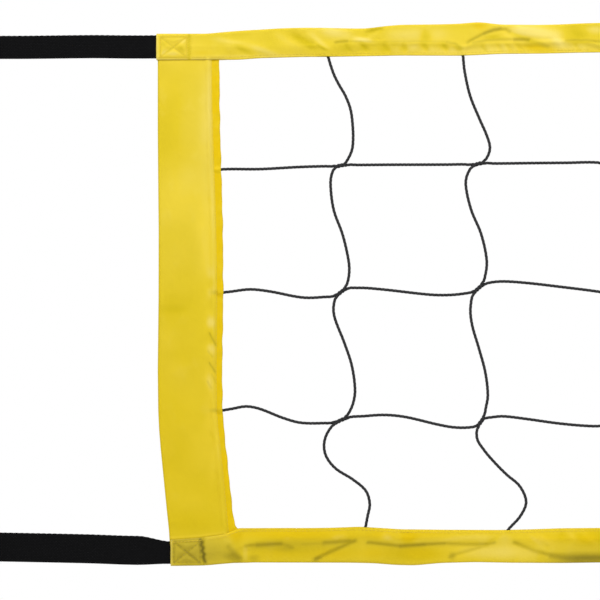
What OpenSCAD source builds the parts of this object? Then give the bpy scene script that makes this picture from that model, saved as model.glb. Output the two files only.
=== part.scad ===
// Portable ball-game net: a knotless cord mesh between folded cloth tapes and side bands,
// held at its four corners by webbing straps, each closed round a pole by a cam buckle.
// The net hangs in the XZ plane, with its length along X and its front towards -Y.

/* [Net] */
// Length between the outer edges of the two side bands
net_length = 3048; // [2000:1:6000]
// Height between the outer edges of the two tapes
net_height = 463; // [430:1:560]
// Number of upright mesh cords
upright_count = 24; // [8:1:30]
// Distance from the net's end to the knots of the first upright cord
first_knot = 157.7; // [120:0.1:200]
// Distance between the rows of knots
row_drop = 109.3; // [90:0.1:120]
// Height of the middle row of knots above the net's middle
row_rise = 2; // [-10:0.5:10]
// How far the hanging net wanders forwards and backwards
lie = 4; // [0:0.5:6]

/* [Cloth] */
// Width of the top tape away from the corners
top_tape_w = 26.6; // [22:0.1:40]
// Width of the bottom tape away from the corners
bottom_tape_w = 29.2; // [22:0.1:40]
// Width of the top tape at the corners
top_corner_w = 22.4; // [21:0.1:26]
// Width of the bottom tape at the corners
bottom_corner_w = 21.4; // [21:0.1:26]
// How far the top corners hang below the run of the top tape
top_corner_sag = 8; // [0:0.5:14]
// How far the bottom tape rises between its corners
bottom_rise = 2.4; // [0:0.1:8]
// How far the bottom corners stand in from the net's ends
foot_inset = 11; // [0:0.5:20]
// Width of the side bands
band_w = 55; // [40:0.5:80]
// Distance from a side band's inner edge to its seam
seam_inset = 6.5; // [4:0.5:12]
// Thickness of the cloth
cloth_t = 0.6; // [0.4:0.05:1]
// How far a side band reaches into the tapes at the corners
band_tuck = 14; // [6:0.5:16]
// Size of the slow waves along the edges of the tapes
tape_wave = 1.4; // [0:0.1:3]

/* [Cords] */
// Diameter of the mesh cord
mesh_cord_d = 2.2; // [1.5:0.1:2.6]
// Diameter of the edge cord inside the tapes and bands
edge_cord_d = 3; // [2:0.1:3.4]
// Distance from the top tape's outer edge to the headline cord
headline_inset = 15; // [10:0.5:18]
// Distance from the bottom tape's outer edge to the footline cord
footline_inset = 20.3; // [10:0.1:22]

/* [Straps] */
// Width of the top webbing straps
top_strap_w = 20; // [15:0.5:20.5]
// Width of the bottom webbing straps
bottom_strap_w = 25; // [20:0.5:32]
// Width of the bottom straps where they are gathered into the corners
gathered_w = 19.4; // [15:0.1:19.6]
// Thickness of the webbing
strap_t = 1.4; // [1:0.1:1.8]
// Length of the folded strap end that is sewn into a corner
sewn_length = 27; // [20:0.5:34]
// Diameter of the pole that a strap closes round
pole_d = 38; // [25:0.5:60]
// Distance from the net's end to the middle of the pole
pole_reach = 262; // [250:1:400]
// How far the bottom straps climb from the corners to their level run
bottom_strap_rise = 5; // [0:0.5:8]
// Distance from the net's end at which the straps run level
level_reach = 135; // [100:1:136]
// Distance from the net's end at which the gathered strap is at its full width
spread_reach = 18; // [10:1:40]
// Distance from the pole's middle to the buckle's pin
buckle_back = 57; // [54:0.5:90]
// Length of the free strap tail beyond the buckle's pin
tail_length = 65; // [45:1:100]

/* [Buckle] */
// Thickness of the buckle's floor plate
plate_t = 1.5; // [1:0.1:2]
// Thickness of the buckle's cheeks
cheek_t = 2; // [1.5:0.1:3]
// Height of the lever pin above the floor plate
pin_height = 8; // [7.8:0.1:9]
// Diameter of the lever pin
pin_d = 4; // [3:0.1:4.4]
// Length of the thumb plate from the pin
thumb_length = 24; // [18:0.5:28]
// Angle of the thumb plate above the floor plate
thumb_angle = 17; // [16:0.5:19]
// Diameter of the spring wire
wire_d = 0.8; // [0.6:0.05:0.9]
// Number of turns in the lever spring
spring_turns = 4; // [2:1:4]

/* [Fits] */
// Clearance between layers of cloth, cord and webbing
soft_gap = 0.3; // [0.1:0.05:0.4]
// Radial clearance of the lever on its pin
pin_gap = 0.05; // [0.01:0.01:0.1]
// Clearance at each side of the lever between the cheeks
side_gap = 0.4; // [0.2:0.05:0.6]
// Clearance at each side of the webbing between the cheeks
webbing_gap = 0.6; // [0.3:0.05:1]

/* [Hidden] */

cloth_color = "gold";
cord_color = "dimgray";
webbing_color = "#202020";
metal_color = "silver";
lever_color = "#3a3d40";

half_length = net_length / 2;
half_height = net_height / 2;
tape_stations = 32;
band_stations = 12;
edge_stations = 30;

// Layers from the middle outwards: edge cord, band, mesh cords, tape.
band_gap = edge_cord_d / 2 + soft_gap;
mesh_y = (mesh_cord_d + soft_gap) / 2;
tape_gap = max(band_gap + cloth_t, mesh_y + mesh_cord_d / 2) + soft_gap;

function clamp01(t) = min(max(t, 0), 1);
function ease(t) = let (u = clamp01(t)) u * u * (3 - 2 * u);
function from_end(x) = half_length - abs(x);
function lie_y(x) = lie * ease((from_end(x) - 150) / 400) * sin(360 * x / 900);

// Outer and inner edges of the two tapes, as heights at a place along the net.
function wave(x, phase) = tape_wave * ease((from_end(x) - 60) / 120)
    * (0.5 - 0.5 * sin(360 * from_end(x) / 330 + phase));
function top_outer(x) = half_height - top_corner_sag * (1 - ease((from_end(x) - 30) / 170)) - wave(x, 0);
function top_width(x) = top_corner_w + (top_tape_w - top_corner_w) * ease((from_end(x) - 40) / 200);
function top_inner(x) = top_outer(x) - top_width(x);
function bottom_outer(x) = -half_height + bottom_rise * ease((from_end(x) - 20) / 80) + wave(x, 100);
function bottom_width(x) = bottom_corner_w
    + (bottom_tape_w - bottom_corner_w) * ease((from_end(x) - foot_inset) / 60);
function bottom_inner(x) = bottom_outer(x) + bottom_width(x);

// Middle heights of the corners, where the straps are sewn in.
top_level = half_height - top_corner_sag - top_corner_w / 2;
bottom_level = -half_height + bottom_corner_w / 2;

function headline_z(x) = let (t = ease((from_end(x) - 40) / 120))
    top_level * (1 - t) + (top_outer(x) - headline_inset) * t;
function footline_z(x) = let (t = ease((from_end(x) - foot_inset - 30) / 60))
    bottom_level * (1 - t) + (bottom_outer(x) + footline_inset) * t;

// How far a side band leans in at a height, towards the bottom corner.
function band_shift(z) = foot_inset * clamp01((-z - half_height * 0.5) / (half_height * 0.45));
function seam_x(z) = half_length - band_w + seam_inset - band_shift(z);

// ---- Swept cords ----

// A closed tube through points that lie near the XZ plane.
module cord(points, d, sides) {
    last = len(points) - 1;
    rings = [
        for (i = [0:last])
            let (
                step = points[min(i + 1, last)] - points[max(i - 1, 0)],
                across = cross(step / norm(step), [0, 1, 0])
            )
            for (k = [0:sides - 1])
                points[i] + d / 2 * (cos(360 * k / sides) * [0, 1, 0] + sin(360 * k / sides) * across)
    ];
    tube(rings, last, sides);
}

// Triangles over a run of rings with the same number of sides, closed at both ends.
module tube(rings, last, sides) {
    walls = [
        for (i = [0:last - 1], k = [0:sides - 1])
            let (a = i * sides + k, b = i * sides + (k + 1) % sides)
            each [[a, b, b + sides], [a, b + sides, a + sides]]
    ];
    near = [for (k = [1:sides - 2]) [0, k + 1, k]];
    far = [for (k = [1:sides - 2]) [last * sides, last * sides + k, last * sides + k + 1]];
    polyhedron(rings, concat(walls, near, far));
}

// A folded strip of cloth: each station holds its outer points, then its inner points.
module folded_cloth(stations) {
    n = len(stations[0]) / 2;
    m = 2 * n;
    last = len(stations) - 1;
    points = [for (s = stations) each s];
    outside = [for (i = [0:last - 1], k = [0:n - 2]) let (a = i * m + k)
        each [[a, a + 1, a + m + 1], [a, a + m + 1, a + m]]];
    inside = [for (i = [0:last - 1], k = [n:m - 2]) let (a = i * m + k)
        each [[a, a + m + 1, a + 1], [a, a + m, a + m + 1]]];
    lips = [for (i = [0:last - 1], pair = [[n, 0], [n - 1, m - 1]]) let (a = i * m + pair[0], b = i * m + pair[1])
        each [[a, b, b + m], [a, b + m, a + m]]];
    near = [for (k = [0:n - 2]) each [[k, n + k, n + k + 1], [k, n + k + 1, k + 1]]];
    far = [for (k = [0:n - 2], a = [last * m + k]) each [[a, a + n + 1, a + n], [a, a + 1, a + n + 1]]];
    polyhedron(points, concat(outside, inside, lips, near, far));
}

// Half-round fold: points of one side of the cloth, from lip to lip round the fold.
// lip is the free edge and fold the closed edge, both along the strip's width.
function fold_line(lip, fold, half_gap) = let (turn = sign(fold - lip) * half_gap)
    [[-half_gap, lip], for (a = [0:45:180]) [-half_gap * cos(a), fold - turn + turn * sin(a)], [half_gap, lip]];

// ---- Tapes, bands and edge cords ----

function tape_station(x, lip, fold) = let (
    outer = fold_line(lip, fold, tape_gap + cloth_t),
    inner = fold_line(lip, fold - sign(fold - lip) * cloth_t, tape_gap)
) [for (p = concat(outer, inner)) [x, p[0] + lie_y(x), p[1]]];

// Stations lie closer together near the ends, where the tape draws in to the corner.
function spread(i, count, half) = let (t = 2 * i / count - 1) half * sign(t) * (1 - pow(1 - abs(t), 1.5));

module top_tape() {
    color(cloth_color)
    folded_cloth([for (i = [0:tape_stations]) let (x = spread(i, tape_stations, half_length))
        tape_station(x, top_inner(x), top_outer(x))]);
}

module bottom_tape() {
    color(cloth_color)
    folded_cloth([for (i = [0:tape_stations]) let (x = -spread(i, tape_stations, half_length - foot_inset))
        tape_station(x, bottom_inner(x), bottom_outer(x))]);
}

// The band's fold is at the net's end, and its lips lie past the seam.
module side_band() {
    bottom_z = bottom_inner(half_length) - band_tuck;
    top_z = top_inner(half_length) + band_tuck;
    stations = [for (i = [0:band_stations]) let (
        z = bottom_z + (top_z - bottom_z) * i / band_stations,
        fold = half_length - band_shift(z),
        lip = fold - band_w,
        outer = fold_line(lip, fold, band_gap + cloth_t),
        inner = fold_line(lip, fold - cloth_t, band_gap)
    ) [for (p = concat(outer, inner)) [p[1], p[0], z]]];
    color(cloth_color)
    difference() {
        folded_cloth(stations);
        // Where a strap leaves the corner, the fold is trimmed away.
        translate([half_length - sewn_length, -strap_t - soft_gap, top_level - top_strap_w / 2 - soft_gap])
            cube([2 * sewn_length, 2 * (strap_t + soft_gap), top_strap_w]);
        translate([half_length - foot_inset - sewn_length, -strap_t - soft_gap, bottom_level - gathered_w / 2])
            cube([2 * sewn_length, 2 * (strap_t + soft_gap), gathered_w + soft_gap]);
    }
}

module side_band_right() { side_band(); }
module side_band_left() { mirror([1, 0, 0]) side_band(); }

module headline_cord() {
    reach = half_length - sewn_length - soft_gap;
    color(cord_color)
    cord([for (i = [0:edge_stations]) let (x = spread(i, edge_stations, reach)) [x, lie_y(x), headline_z(x)]],
        edge_cord_d, 6);
}

module footline_cord() {
    reach = half_length - foot_inset - sewn_length - soft_gap;
    color(cord_color)
    cord([for (i = [0:edge_stations]) let (x = spread(i, edge_stations, reach)) [x, lie_y(x), footline_z(x)]],
        edge_cord_d, 6);
}

module side_cord() {
    gap = edge_cord_d / 2 + edge_cord_d / 2 + soft_gap;
    low = footline_z(seam_x(-half_height)) + gap;
    high = headline_z(seam_x(half_height)) - gap;
    color(cord_color)
    cord([for (i = [0:band_stations]) let (z = low + (high - low) * i / band_stations) [seam_x(z), 0, z]],
        edge_cord_d, 6);
}

module side_cord_right() { side_cord(); }
module side_cord_left() { mirror([1, 0, 0]) side_cord(); }

// ---- Mesh ----

row_count = 3;
knot_pitch = (net_length - 2 * first_knot) / (upright_count - 1);
cord_steps = 5;

// Slow wander from cord to cord, none at the first two.
function wander(i, phase) = ease((i - 1) / 2) * sin(i * 73 + phase);

function knot(i, row) = let (x = -half_length + first_knot + i * knot_pitch + 3 * wander(i, 90 * row))
    [x, 0, row_rise + (2 - row) * row_drop + 2.5 * wander(i, 150 * row + 40)];

function hermite(p, q, tp, tq, t) =
    (2 * t * t * t - 3 * t * t + 1) * p + (3 * t * t - 2 * t * t * t) * q
    + (t * t * t - 2 * t * t + t) * tp + (t * t * t - t * t) * tq;

function laid(p, y) = [p[0], y + lie_y(p[0]), p[2]];

// Each upright cord leaves a knot down and to one side, and meets the next from the other side.
function upright_stops(i) = let (
    first = knot(i, 1), last = knot(i, row_count),
    head_x = first[0] - 14 - 4 * wander(i, 20),
    foot_x = last[0] + 16 + 6 * wander(i, 200),
    reach = edge_cord_d / 2 + soft_gap
) [[head_x, 0, headline_z(head_x) - reach], for (row = [1:row_count]) knot(i, row),
    [foot_x, 0, footline_z(foot_x) + reach]];

// Sideways pull of the cord at the start and end of each stretch.
start_pull = [28, -98, -82, -190];
end_pull = [-75, -72, -98, -118];
down_pull = 90;

function upright_points(i) = let (stops = upright_stops(i)) [
    for (s = [0:row_count])
        let (
            tp = [start_pull[s] + 14 * wander(i, 60 * s), 0, -down_pull],
            tq = [end_pull[s] + 12 * wander(i, 80 * s + 30), 0, -down_pull]
        )
        for (k = [0:cord_steps - (s < row_count ? 1 : 0)])
            laid(hermite(stops[s], stops[s + 1], tp, tq, k / cord_steps), -mesh_y)
];

// Each row cord rises into a knot and sinks between knots; the first row hangs nearly straight.
row_pull = [6, 38, 46];

function row_stops(row) = let (
    reach = edge_cord_d / 2 + soft_gap,
    z = knot(0, row)[2]
) concat([[-seam_x(z) + reach, 0, z]], [for (i = [0:upright_count - 1]) knot(i, row)], [[seam_x(z) - reach, 0, z]]);

function row_points(row) = let (stops = row_stops(row), stretches = len(stops) - 1) [
    for (s = [0:stretches - 1])
        let (
            along = (stops[s + 1] - stops[s])[0],
            tp = [along, 0, row_pull[row - 1] * (1 + 0.25 * wander(s, 70 * row))],
            tq = [along, 0, row_pull[row - 1] * (1 + 0.25 * wander(s + 1, 70 * row))],
            steps = cord_steps - 1
        )
        for (k = [0:steps - (s < stretches - 1 ? 1 : 0)])
            laid(hermite(stops[s], stops[s + 1], tp, tq, k / steps), mesh_y)
];

module mesh_uprights() {
    color(cord_color)
    for (i = [0:upright_count - 1]) cord(upright_points(i), mesh_cord_d, 4);
}

module mesh_rows() {
    color(cord_color)
    for (row = [1:row_count]) cord(row_points(row), mesh_cord_d, 4);
}

// ---- Straps and buckles ----
// A corner is drawn with +X outwards from the net's end, the pole's middle at X = pole_reach,
// and Z from the strap's level. Buckle profiles are drawn on the plane of X and height above
// the floor plate, with the pin's foot at the origin.

pin_out = pole_reach - buckle_back;
floor_y = -(strap_t / 2 + soft_gap + strap_t + soft_gap + plate_t);
loop_r = pole_d / 2;
// The webbing is pressed a little against the pole.
press = 0.1;
mid_r = loop_r + strap_t / 2 - press;

slot_near = 17;
slot_w = 6;
bar_w = 4;
floor_far = 15;
bar_far = slot_near + slot_w + bar_w;
keeper_end = bar_far + 25;
lift = strap_t + soft_gap;

module corner(side, level) {
    mirror([side == "left" ? 1 : 0, 0, 0])
    translate([half_length, 0, level])
    children();
}

// Moves from a drawing above the floor plate to the corner's frame.
module on_floor() {
    translate([pin_out, floor_y, 0]) mirror([0, 1, 0]) children();
}

// Turn of a plan route at one of its points, as the sideways step to the webbing's face there.
function face_step(points, i) = let (
    last = len(points) - 1,
    a = points[max(i, 1)] - points[max(i, 1) - 1],
    b = points[min(i, last - 1) + 1] - points[min(i, last - 1)],
    na = [-a[1], a[0]] / norm(a),
    nb = [-b[1], b[0]] / norm(b)
) strap_t / 2 * (na + nb) / (1 + na * nb);

// Webbing that follows a plan route, with mitred bends.
module ribbon(points, w) {
    last = len(points) - 1;
    translate([0, 0, -w / 2])
    linear_extrude(w)
    polygon([
        for (i = [0:last]) points[i] - face_step(points, i),
        for (i = [last:-1:0]) points[i] + face_step(points, i)
    ]);
}

// Where a line from p touches the strap's middle line round the pole, on one side of it.
function touch(p, side) = let (
    to = [pole_reach, 0] - p,
    turn = asin(mid_r / norm(to)),
    away = atan2(to[1], to[0]) + side * turn,
    length = sqrt(norm(to) * norm(to) - mid_r * mid_r)
) p + length * [cos(away), sin(away)];

// Plan points of the webbing's middle line round the pole, from one touching point to another.
function round_pole(from, to) = let (
    steps = 36,
    start = atan2(from[1], from[0] - pole_reach),
    turn = atan2(to[1], to[0] - pole_reach) - start
) [for (k = [0:steps]) let (a = start + turn * k / steps) [pole_reach + mid_r * cos(a), mid_r * sin(a)]];

// Webbing from the corner, round the pole, back under the cam and out as a free tail.
// inset is how far the corner stands in, and sewn_w the width sewn in. sewn_z and spread_z
// are the heights of the strap's middle where it is sewn in and where it is spread out.
module strap(w, inset, sewn_w, sewn_z, spread_z) {
    leave = pin_out + floor_far + 2;
    level_end = leave - 4;
    near_back = [leave, 0];
    near_front = [leave, floor_y - strap_t / 2 - soft_gap];
    touch_back = touch(near_back, 1);
    touch_front = touch(near_front, -1);
    outline = [
        [-inset - sewn_length, sewn_z - sewn_w / 2], [-inset, sewn_z - sewn_w / 2],
        [spread_reach, spread_z - w / 2], [level_reach, -w / 2], [level_end, -w / 2],
        [level_end, w / 2], [level_reach, w / 2], [spread_reach, spread_z + w / 2],
        [-inset, sewn_z + sewn_w / 2], [-inset - sewn_length, sewn_z + sewn_w / 2]
    ];
    color(webbing_color)
    difference() {
        union() {
            translate([0, strap_t / 2, 0]) rotate([90, 0, 0]) linear_extrude(strap_t) polygon(outline);
            // The sewn end is folded double.
            translate([-inset - sewn_length, -strap_t, sewn_z - sewn_w / 2])
                cube([sewn_length - 1, 2 * strap_t, sewn_w]);
            ribbon(concat(
                [[pin_out - tail_length, near_front[1] - lift], [pin_out - slot_near - 3, near_front[1] - lift],
                    [pin_out - 10, near_front[1]], near_front],
                round_pole(touch_front, touch_back), [near_back, [level_end, 0]]
            ), w);
        }
        translate([pole_reach, 0, -w]) cylinder(r = loop_r, h = 2 * w, $fn = 96);
    }
}

// Short webbing wrapped round the buckle's bar and sewn to the strap behind it.
module keeper(w) {
    inner_r = (plate_t + 2 * soft_gap) / 2;
    turn_x = -(slot_near + slot_w + 0.3);
    mid = -plate_t / 2;
    leg = inner_r + strap_t / 2;
    sewn = mid - leg + strap_t;
    color(webbing_color)
    on_floor() {
        ribbon([[turn_x, mid - leg], [-keeper_end, mid - leg]], w);
        ribbon([[turn_x, mid + leg], [-bar_far - 2, mid + leg], [-bar_far - 7, sewn], [-keeper_end, sewn]], w);
        translate([turn_x, mid, -w / 2])
        rotate([0, 0, -90])
        rotate_extrude(angle = 180, $fn = 48)
        translate([inner_r, 0]) square([strap_t, w]);
    }
}

// ---- Buckle ----

function inner_w(w) = w + 2 * webbing_gap;
boss_r = pin_d / 2 + 3.5;
hub_r = pin_d / 2 + 2.2;
nose_r = pin_height - strap_t - 2 * soft_gap;
spring_r = pin_d / 2 + 0.5 + wire_d / 2;
spring_pitch = wire_d + 0.55;
spring_room = spring_turns * spring_pitch + wire_d + 1;
tail_bend = 1;
thumb_low = spring_r - wire_d / 2 - soft_gap;
thumb_t = 2.4;

// A plate with round corners, lying on the plan of X and Z.
module round_plate(x0, x1, half_w, t, r) {
    translate([x0 + r, -t, -half_w]) cube([x1 - x0 - 2 * r, t, 2 * half_w]);
    translate([x0, -t, -half_w + r]) cube([x1 - x0, t, 2 * (half_w - r)]);
    for (x = [x0 + r, x1 - r], z = [-half_w + r, half_w - r])
        translate([x, 0, z]) rotate([90, 0, 0]) cylinder(r = r, h = t, $fn = 32);
}

// Where the spring's tail enters the cheek, from the pin's middle.
function tail_hole() = let (a = thumb_angle)
    spring_r * [sin(a), -cos(a)] - tail_bend * [cos(a), sin(a)];

module cheek() {
    linear_extrude(cheek_t)
    polygon([[-14, -plate_t], [14, -plate_t], [14, 1.5], [boss_r, pin_height], [-boss_r, pin_height], [-14, 1.5]]);
    translate([0, pin_height, 0]) cylinder(r = boss_r, h = cheek_t, $fn = 64);
}

module buckle_frame(w) {
    iw = inner_w(w);
    half_w = iw / 2 + cheek_t;
    color(metal_color)
    on_floor()
    difference() {
        union() {
            round_plate(-bar_far, floor_far, half_w, plate_t, 2);
            for (z = [-half_w, iw / 2]) translate([0, 0, z]) cheek();
        }
        translate([-slot_near - slot_w, -2 * plate_t, -iw / 2]) cube([slot_w, 4 * plate_t, iw]);
        translate([0, pin_height, -half_w - 1]) cylinder(d = pin_d + 0.04, h = 2 * half_w + 2, $fn = 64);
        translate([tail_hole()[0], pin_height + tail_hole()[1], iw / 2 - 1])
            cylinder(d = wire_d + 0.4, h = cheek_t + 2, $fn = 24);
    }
}

module lever_pin(w) {
    half_w = inner_w(w) / 2 + cheek_t + 0.05;
    head_t = 1.2;
    color(metal_color)
    on_floor()
    translate([0, pin_height, 0]) {
        translate([0, 0, -half_w - 0.1]) cylinder(d = pin_d, h = 2 * half_w + 0.2, $fn = 64);
        for (z = [-half_w - head_t, half_w]) translate([0, 0, z]) cylinder(d = pin_d * 1.7, h = head_t, $fn = 64);
    }
}

// Toothed nose of the cam. The teeth stand further out towards the net, so that a pull on the
// webbing towards the pole turns them into it.
module nose_profile() {
    teeth = 5;
    tooth_turn = 9;
    depth = 0.9;
    function reach(turn) = nose_r * (1 + 0.6 * (1 / cos(turn) - 1));
    function at(turn, r) = r * [-sin(turn), -cos(turn)];
    rim = [for (k = [0:teeth - 1]) let (turn = k * tooth_turn) each [
        at(turn - tooth_turn / 2, reach(turn) - depth), at(turn, reach(turn))
    ]];
    polygon(concat(rim, [at((teeth - 0.5) * tooth_turn, reach((teeth - 1) * tooth_turn) - depth), [-1.5, 0.5], [0.5, 0.5]]));
}

// Side view of the thumb plate, with three grip ribs near its round-edged end.
module thumb_profile() {
    top = thumb_t - thumb_low;
    rib = 0.6;
    ribs = [for (x = [thumb_length - 3:-2.5:thumb_length - 8])
        each [[x + rib, top], [x + rib / 2, top + rib], [x - rib / 2, top + rib], [x - rib, top]]];
    polygon(concat(
        [[0, -thumb_low], [thumb_length - 0.8, -thumb_low], [thumb_length, 0.8 - thumb_low],
            [thumb_length, top - 0.4], [thumb_length - 0.4, top]],
        ribs, [[0, top]]
    ));
}

module cam_lever(w) {
    lw = inner_w(w) - 2 * side_gap;
    bevel = 2.5;
    color(lever_color)
    on_floor()
    translate([0, pin_height, -lw / 2])
    difference() {
        union() {
            cylinder(r = hub_r, h = lw, $fn = 64);
            linear_extrude(lw) nose_profile();
            rotate([0, 0, thumb_angle]) linear_extrude(lw) thumb_profile();
        }
        translate([0, 0, -1]) cylinder(r = pin_d / 2 + pin_gap, h = lw + 2, $fn = 64);
        // Room for the spring at the upper end of the hub
        translate([0, 0, lw - spring_room]) cylinder(r = hub_r + 0.2, h = spring_room + 1, $fn = 64);
        // Bevelled corners of the thumb plate
        for (z = [0, lw])
            rotate([0, 0, thumb_angle]) translate([thumb_length, 0, z]) rotate([0, 45, 0])
                cube([bevel * sqrt(2), 4 * thumb_t, bevel * sqrt(2)], center = true);
    }
}

// One ring of the spring's wire, about a middle point, from its outward and forward directions.
function wire_ring(c, outward, forward) = [for (k = [0:5])
    c + wire_d / 2 * (cos(60 * k) * outward + sin(60 * k) * cross(forward, outward))];

// The wire comes in along the pin from the cheek, bends into the coil and leaves straight
// under the thumb plate.
function spring_line(w) = let (
    end_angle = thumb_angle - 90,
    top = inner_w(w) / 2 - side_gap - 0.5 - wire_d / 2,
    outward = [cos(end_angle), sin(end_angle), 0],
    along = [-sin(end_angle), cos(end_angle), 0],
    start = spring_r * outward + [0, 0, top],
    steps = 8 * spring_turns
) concat(
    [[start - tail_bend * along + [0, 0, side_gap + 0.5 + cheek_t * 0.6 + wire_d / 2], outward, [0, 0, -1]]],
    [for (a = [0, 30, 60]) [start + tail_bend * (-cos(a) * along + (1 - sin(a)) * [0, 0, 1]),
        outward, sin(a) * along - cos(a) * [0, 0, 1]]],
    [for (k = [0:steps]) let (a = end_angle + 360 * k / 8)
        [[spring_r * cos(a), spring_r * sin(a), top - spring_pitch * k / 8],
            [cos(a), sin(a), 0], [-sin(a), cos(a), 0]]],
    [[spring_r * outward + 7 * along + [0, 0, top - spring_pitch * spring_turns], outward, along]]
);

module lever_spring(w) {
    line = spring_line(w);
    rings = [for (s = line) each wire_ring(s[0], s[1], s[2])];
    color(metal_color)
    on_floor()
    translate([0, pin_height, 0])
    tube(rings, len(line) - 1, 6);
}

// Least gap between turns of the spring's wire, measured on its middle line.
spring_points = [for (s = spring_line(top_strap_w)) s[0]];
spring_gap = min([for (i = [0:len(spring_points) - 1], j = [0:len(spring_points) - 1])
    if (j >= i + 6) norm(spring_points[i] - spring_points[j]) - wire_d]);
echo(str("least gap between spring turns: ", spring_gap, " mm"));

bottom_run_level = bottom_level + bottom_strap_rise;

module strap_top() { strap(top_strap_w, 0, top_strap_w, 0, 0); }

// The bottom strap spreads out upwards from the corner's lower edge.
module strap_bottom() {
    spread_z = -half_height + bottom_strap_w / 2 - bottom_run_level;
    strap(bottom_strap_w, foot_inset, gathered_w, -bottom_strap_rise, spread_z);
}

module strap_top_left() { corner("left", top_level) strap_top(); }
module strap_top_right() { corner("right", top_level) strap_top(); }
module strap_bottom_left() { corner("left", bottom_run_level) strap_bottom(); }
module strap_bottom_right() { corner("right", bottom_run_level) strap_bottom(); }

module keeper_top_left() { corner("left", top_level) keeper(top_strap_w); }
module keeper_top_right() { corner("right", top_level) keeper(top_strap_w); }
module keeper_bottom_left() { corner("left", bottom_run_level) keeper(bottom_strap_w); }
module keeper_bottom_right() { corner("right", bottom_run_level) keeper(bottom_strap_w); }

module buckle_frame_top_left() { corner("left", top_level) buckle_frame(top_strap_w); }
module buckle_frame_top_right() { corner("right", top_level) buckle_frame(top_strap_w); }
module buckle_frame_bottom_left() { corner("left", bottom_run_level) buckle_frame(bottom_strap_w); }
module buckle_frame_bottom_right() { corner("right", bottom_run_level) buckle_frame(bottom_strap_w); }

module cam_lever_top_left() { corner("left", top_level) cam_lever(top_strap_w); }
module cam_lever_top_right() { corner("right", top_level) cam_lever(top_strap_w); }
module cam_lever_bottom_left() { corner("left", bottom_run_level) cam_lever(bottom_strap_w); }
module cam_lever_bottom_right() { corner("right", bottom_run_level) cam_lever(bottom_strap_w); }

module lever_pin_top_left() { corner("left", top_level) lever_pin(top_strap_w); }
module lever_pin_top_right() { corner("right", top_level) lever_pin(top_strap_w); }
module lever_pin_bottom_left() { corner("left", bottom_run_level) lever_pin(bottom_strap_w); }
module lever_pin_bottom_right() { corner("right", bottom_run_level) lever_pin(bottom_strap_w); }

module lever_spring_top_left() { corner("left", top_level) lever_spring(top_strap_w); }
module lever_spring_top_right() { corner("right", top_level) lever_spring(top_strap_w); }
module lever_spring_bottom_left() { corner("left", bottom_run_level) lever_spring(bottom_strap_w); }
module lever_spring_bottom_right() { corner("right", bottom_run_level) lever_spring(bottom_strap_w); }

top_tape();
bottom_tape();
side_band_left();
side_band_right();
headline_cord();
footline_cord();
side_cord_left();
side_cord_right();
mesh_uprights();
mesh_rows();
strap_top_left();
strap_top_right();
strap_bottom_left();
strap_bottom_right();
keeper_top_left();
keeper_top_right();
keeper_bottom_left();
keeper_bottom_right();
buckle_frame_top_left();
buckle_frame_top_right();
buckle_frame_bottom_left();
buckle_frame_bottom_right();
cam_lever_top_left();
cam_lever_top_right();
cam_lever_bottom_left();
cam_lever_bottom_right();
lever_pin_top_left();
lever_pin_top_right();
lever_pin_bottom_left();
lever_pin_bottom_right();
lever_spring_top_left();
lever_spring_top_right();
lever_spring_bottom_left();
lever_spring_bottom_right();
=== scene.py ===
import math

import bpy
import numpy as np
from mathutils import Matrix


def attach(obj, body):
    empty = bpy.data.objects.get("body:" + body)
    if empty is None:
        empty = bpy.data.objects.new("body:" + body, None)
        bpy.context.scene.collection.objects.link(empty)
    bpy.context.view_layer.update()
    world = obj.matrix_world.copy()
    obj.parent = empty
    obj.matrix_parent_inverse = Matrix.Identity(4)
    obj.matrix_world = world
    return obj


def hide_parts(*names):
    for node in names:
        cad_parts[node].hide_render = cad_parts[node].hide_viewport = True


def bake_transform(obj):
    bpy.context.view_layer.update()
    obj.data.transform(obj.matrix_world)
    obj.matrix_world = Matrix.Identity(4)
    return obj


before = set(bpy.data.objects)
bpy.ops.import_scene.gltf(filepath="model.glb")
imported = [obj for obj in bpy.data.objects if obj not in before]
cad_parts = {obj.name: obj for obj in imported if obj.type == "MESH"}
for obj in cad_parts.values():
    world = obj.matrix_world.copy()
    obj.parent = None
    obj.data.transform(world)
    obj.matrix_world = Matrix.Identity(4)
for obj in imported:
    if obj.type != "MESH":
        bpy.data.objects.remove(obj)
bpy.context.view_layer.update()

# The net hangs in the XZ plane with its front towards -Y. Sizes are in millimetres, and the
# mesh builders turn them into metres.
MM = 0.001

# ---------------------------------------------------------------------------
# Camera
# ---------------------------------------------------------------------------

bpy.ops.object.camera_add(location=(-1.4023, -1.428, -0.0045), rotation=(math.radians(90), 0, 0))
camera = bpy.context.object
camera.name = "camera"
camera.data.lens = 100
camera.data.sensor_width = 36
camera.data.clip_end = 60
bpy.context.scene.camera = camera
bpy.context.scene.view_settings.view_transform = "Standard"

# ---------------------------------------------------------------------------
# Measures of the net, the same as in the part's source
# ---------------------------------------------------------------------------

HALF_LENGTH = 1524.0
HALF_HEIGHT = 231.5
CORD_D = 2.2
EDGE_CORD_D = 3.0
STRAP_T = 1.4
FOOT_INSET = 11.0
SEWN_LENGTH = 27.0
TOP_LEVEL = 212.3
BOTTOM_LEVEL = -220.8
BOTTOM_RUN_LEVEL = -215.8
UPRIGHTS = 24
FIRST_KNOT = 157.7
KNOT_PITCH = (2 * HALF_LENGTH - 2 * FIRST_KNOT) / (UPRIGHTS - 1)
ROW_PITCH = 109.3
CLOTH_T = 0.4
SIDE_CORD_IN = 3.1


def ease(t):
    t = np.clip(t, 0, 1)
    return t * t * (3 - 2 * t)


def bell(off, wide):
    return np.exp(-(off / wide) ** 2)


def sine(degrees):
    return np.sin(np.radians(degrees))


def from_end(x):
    return HALF_LENGTH - np.abs(x)


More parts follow.
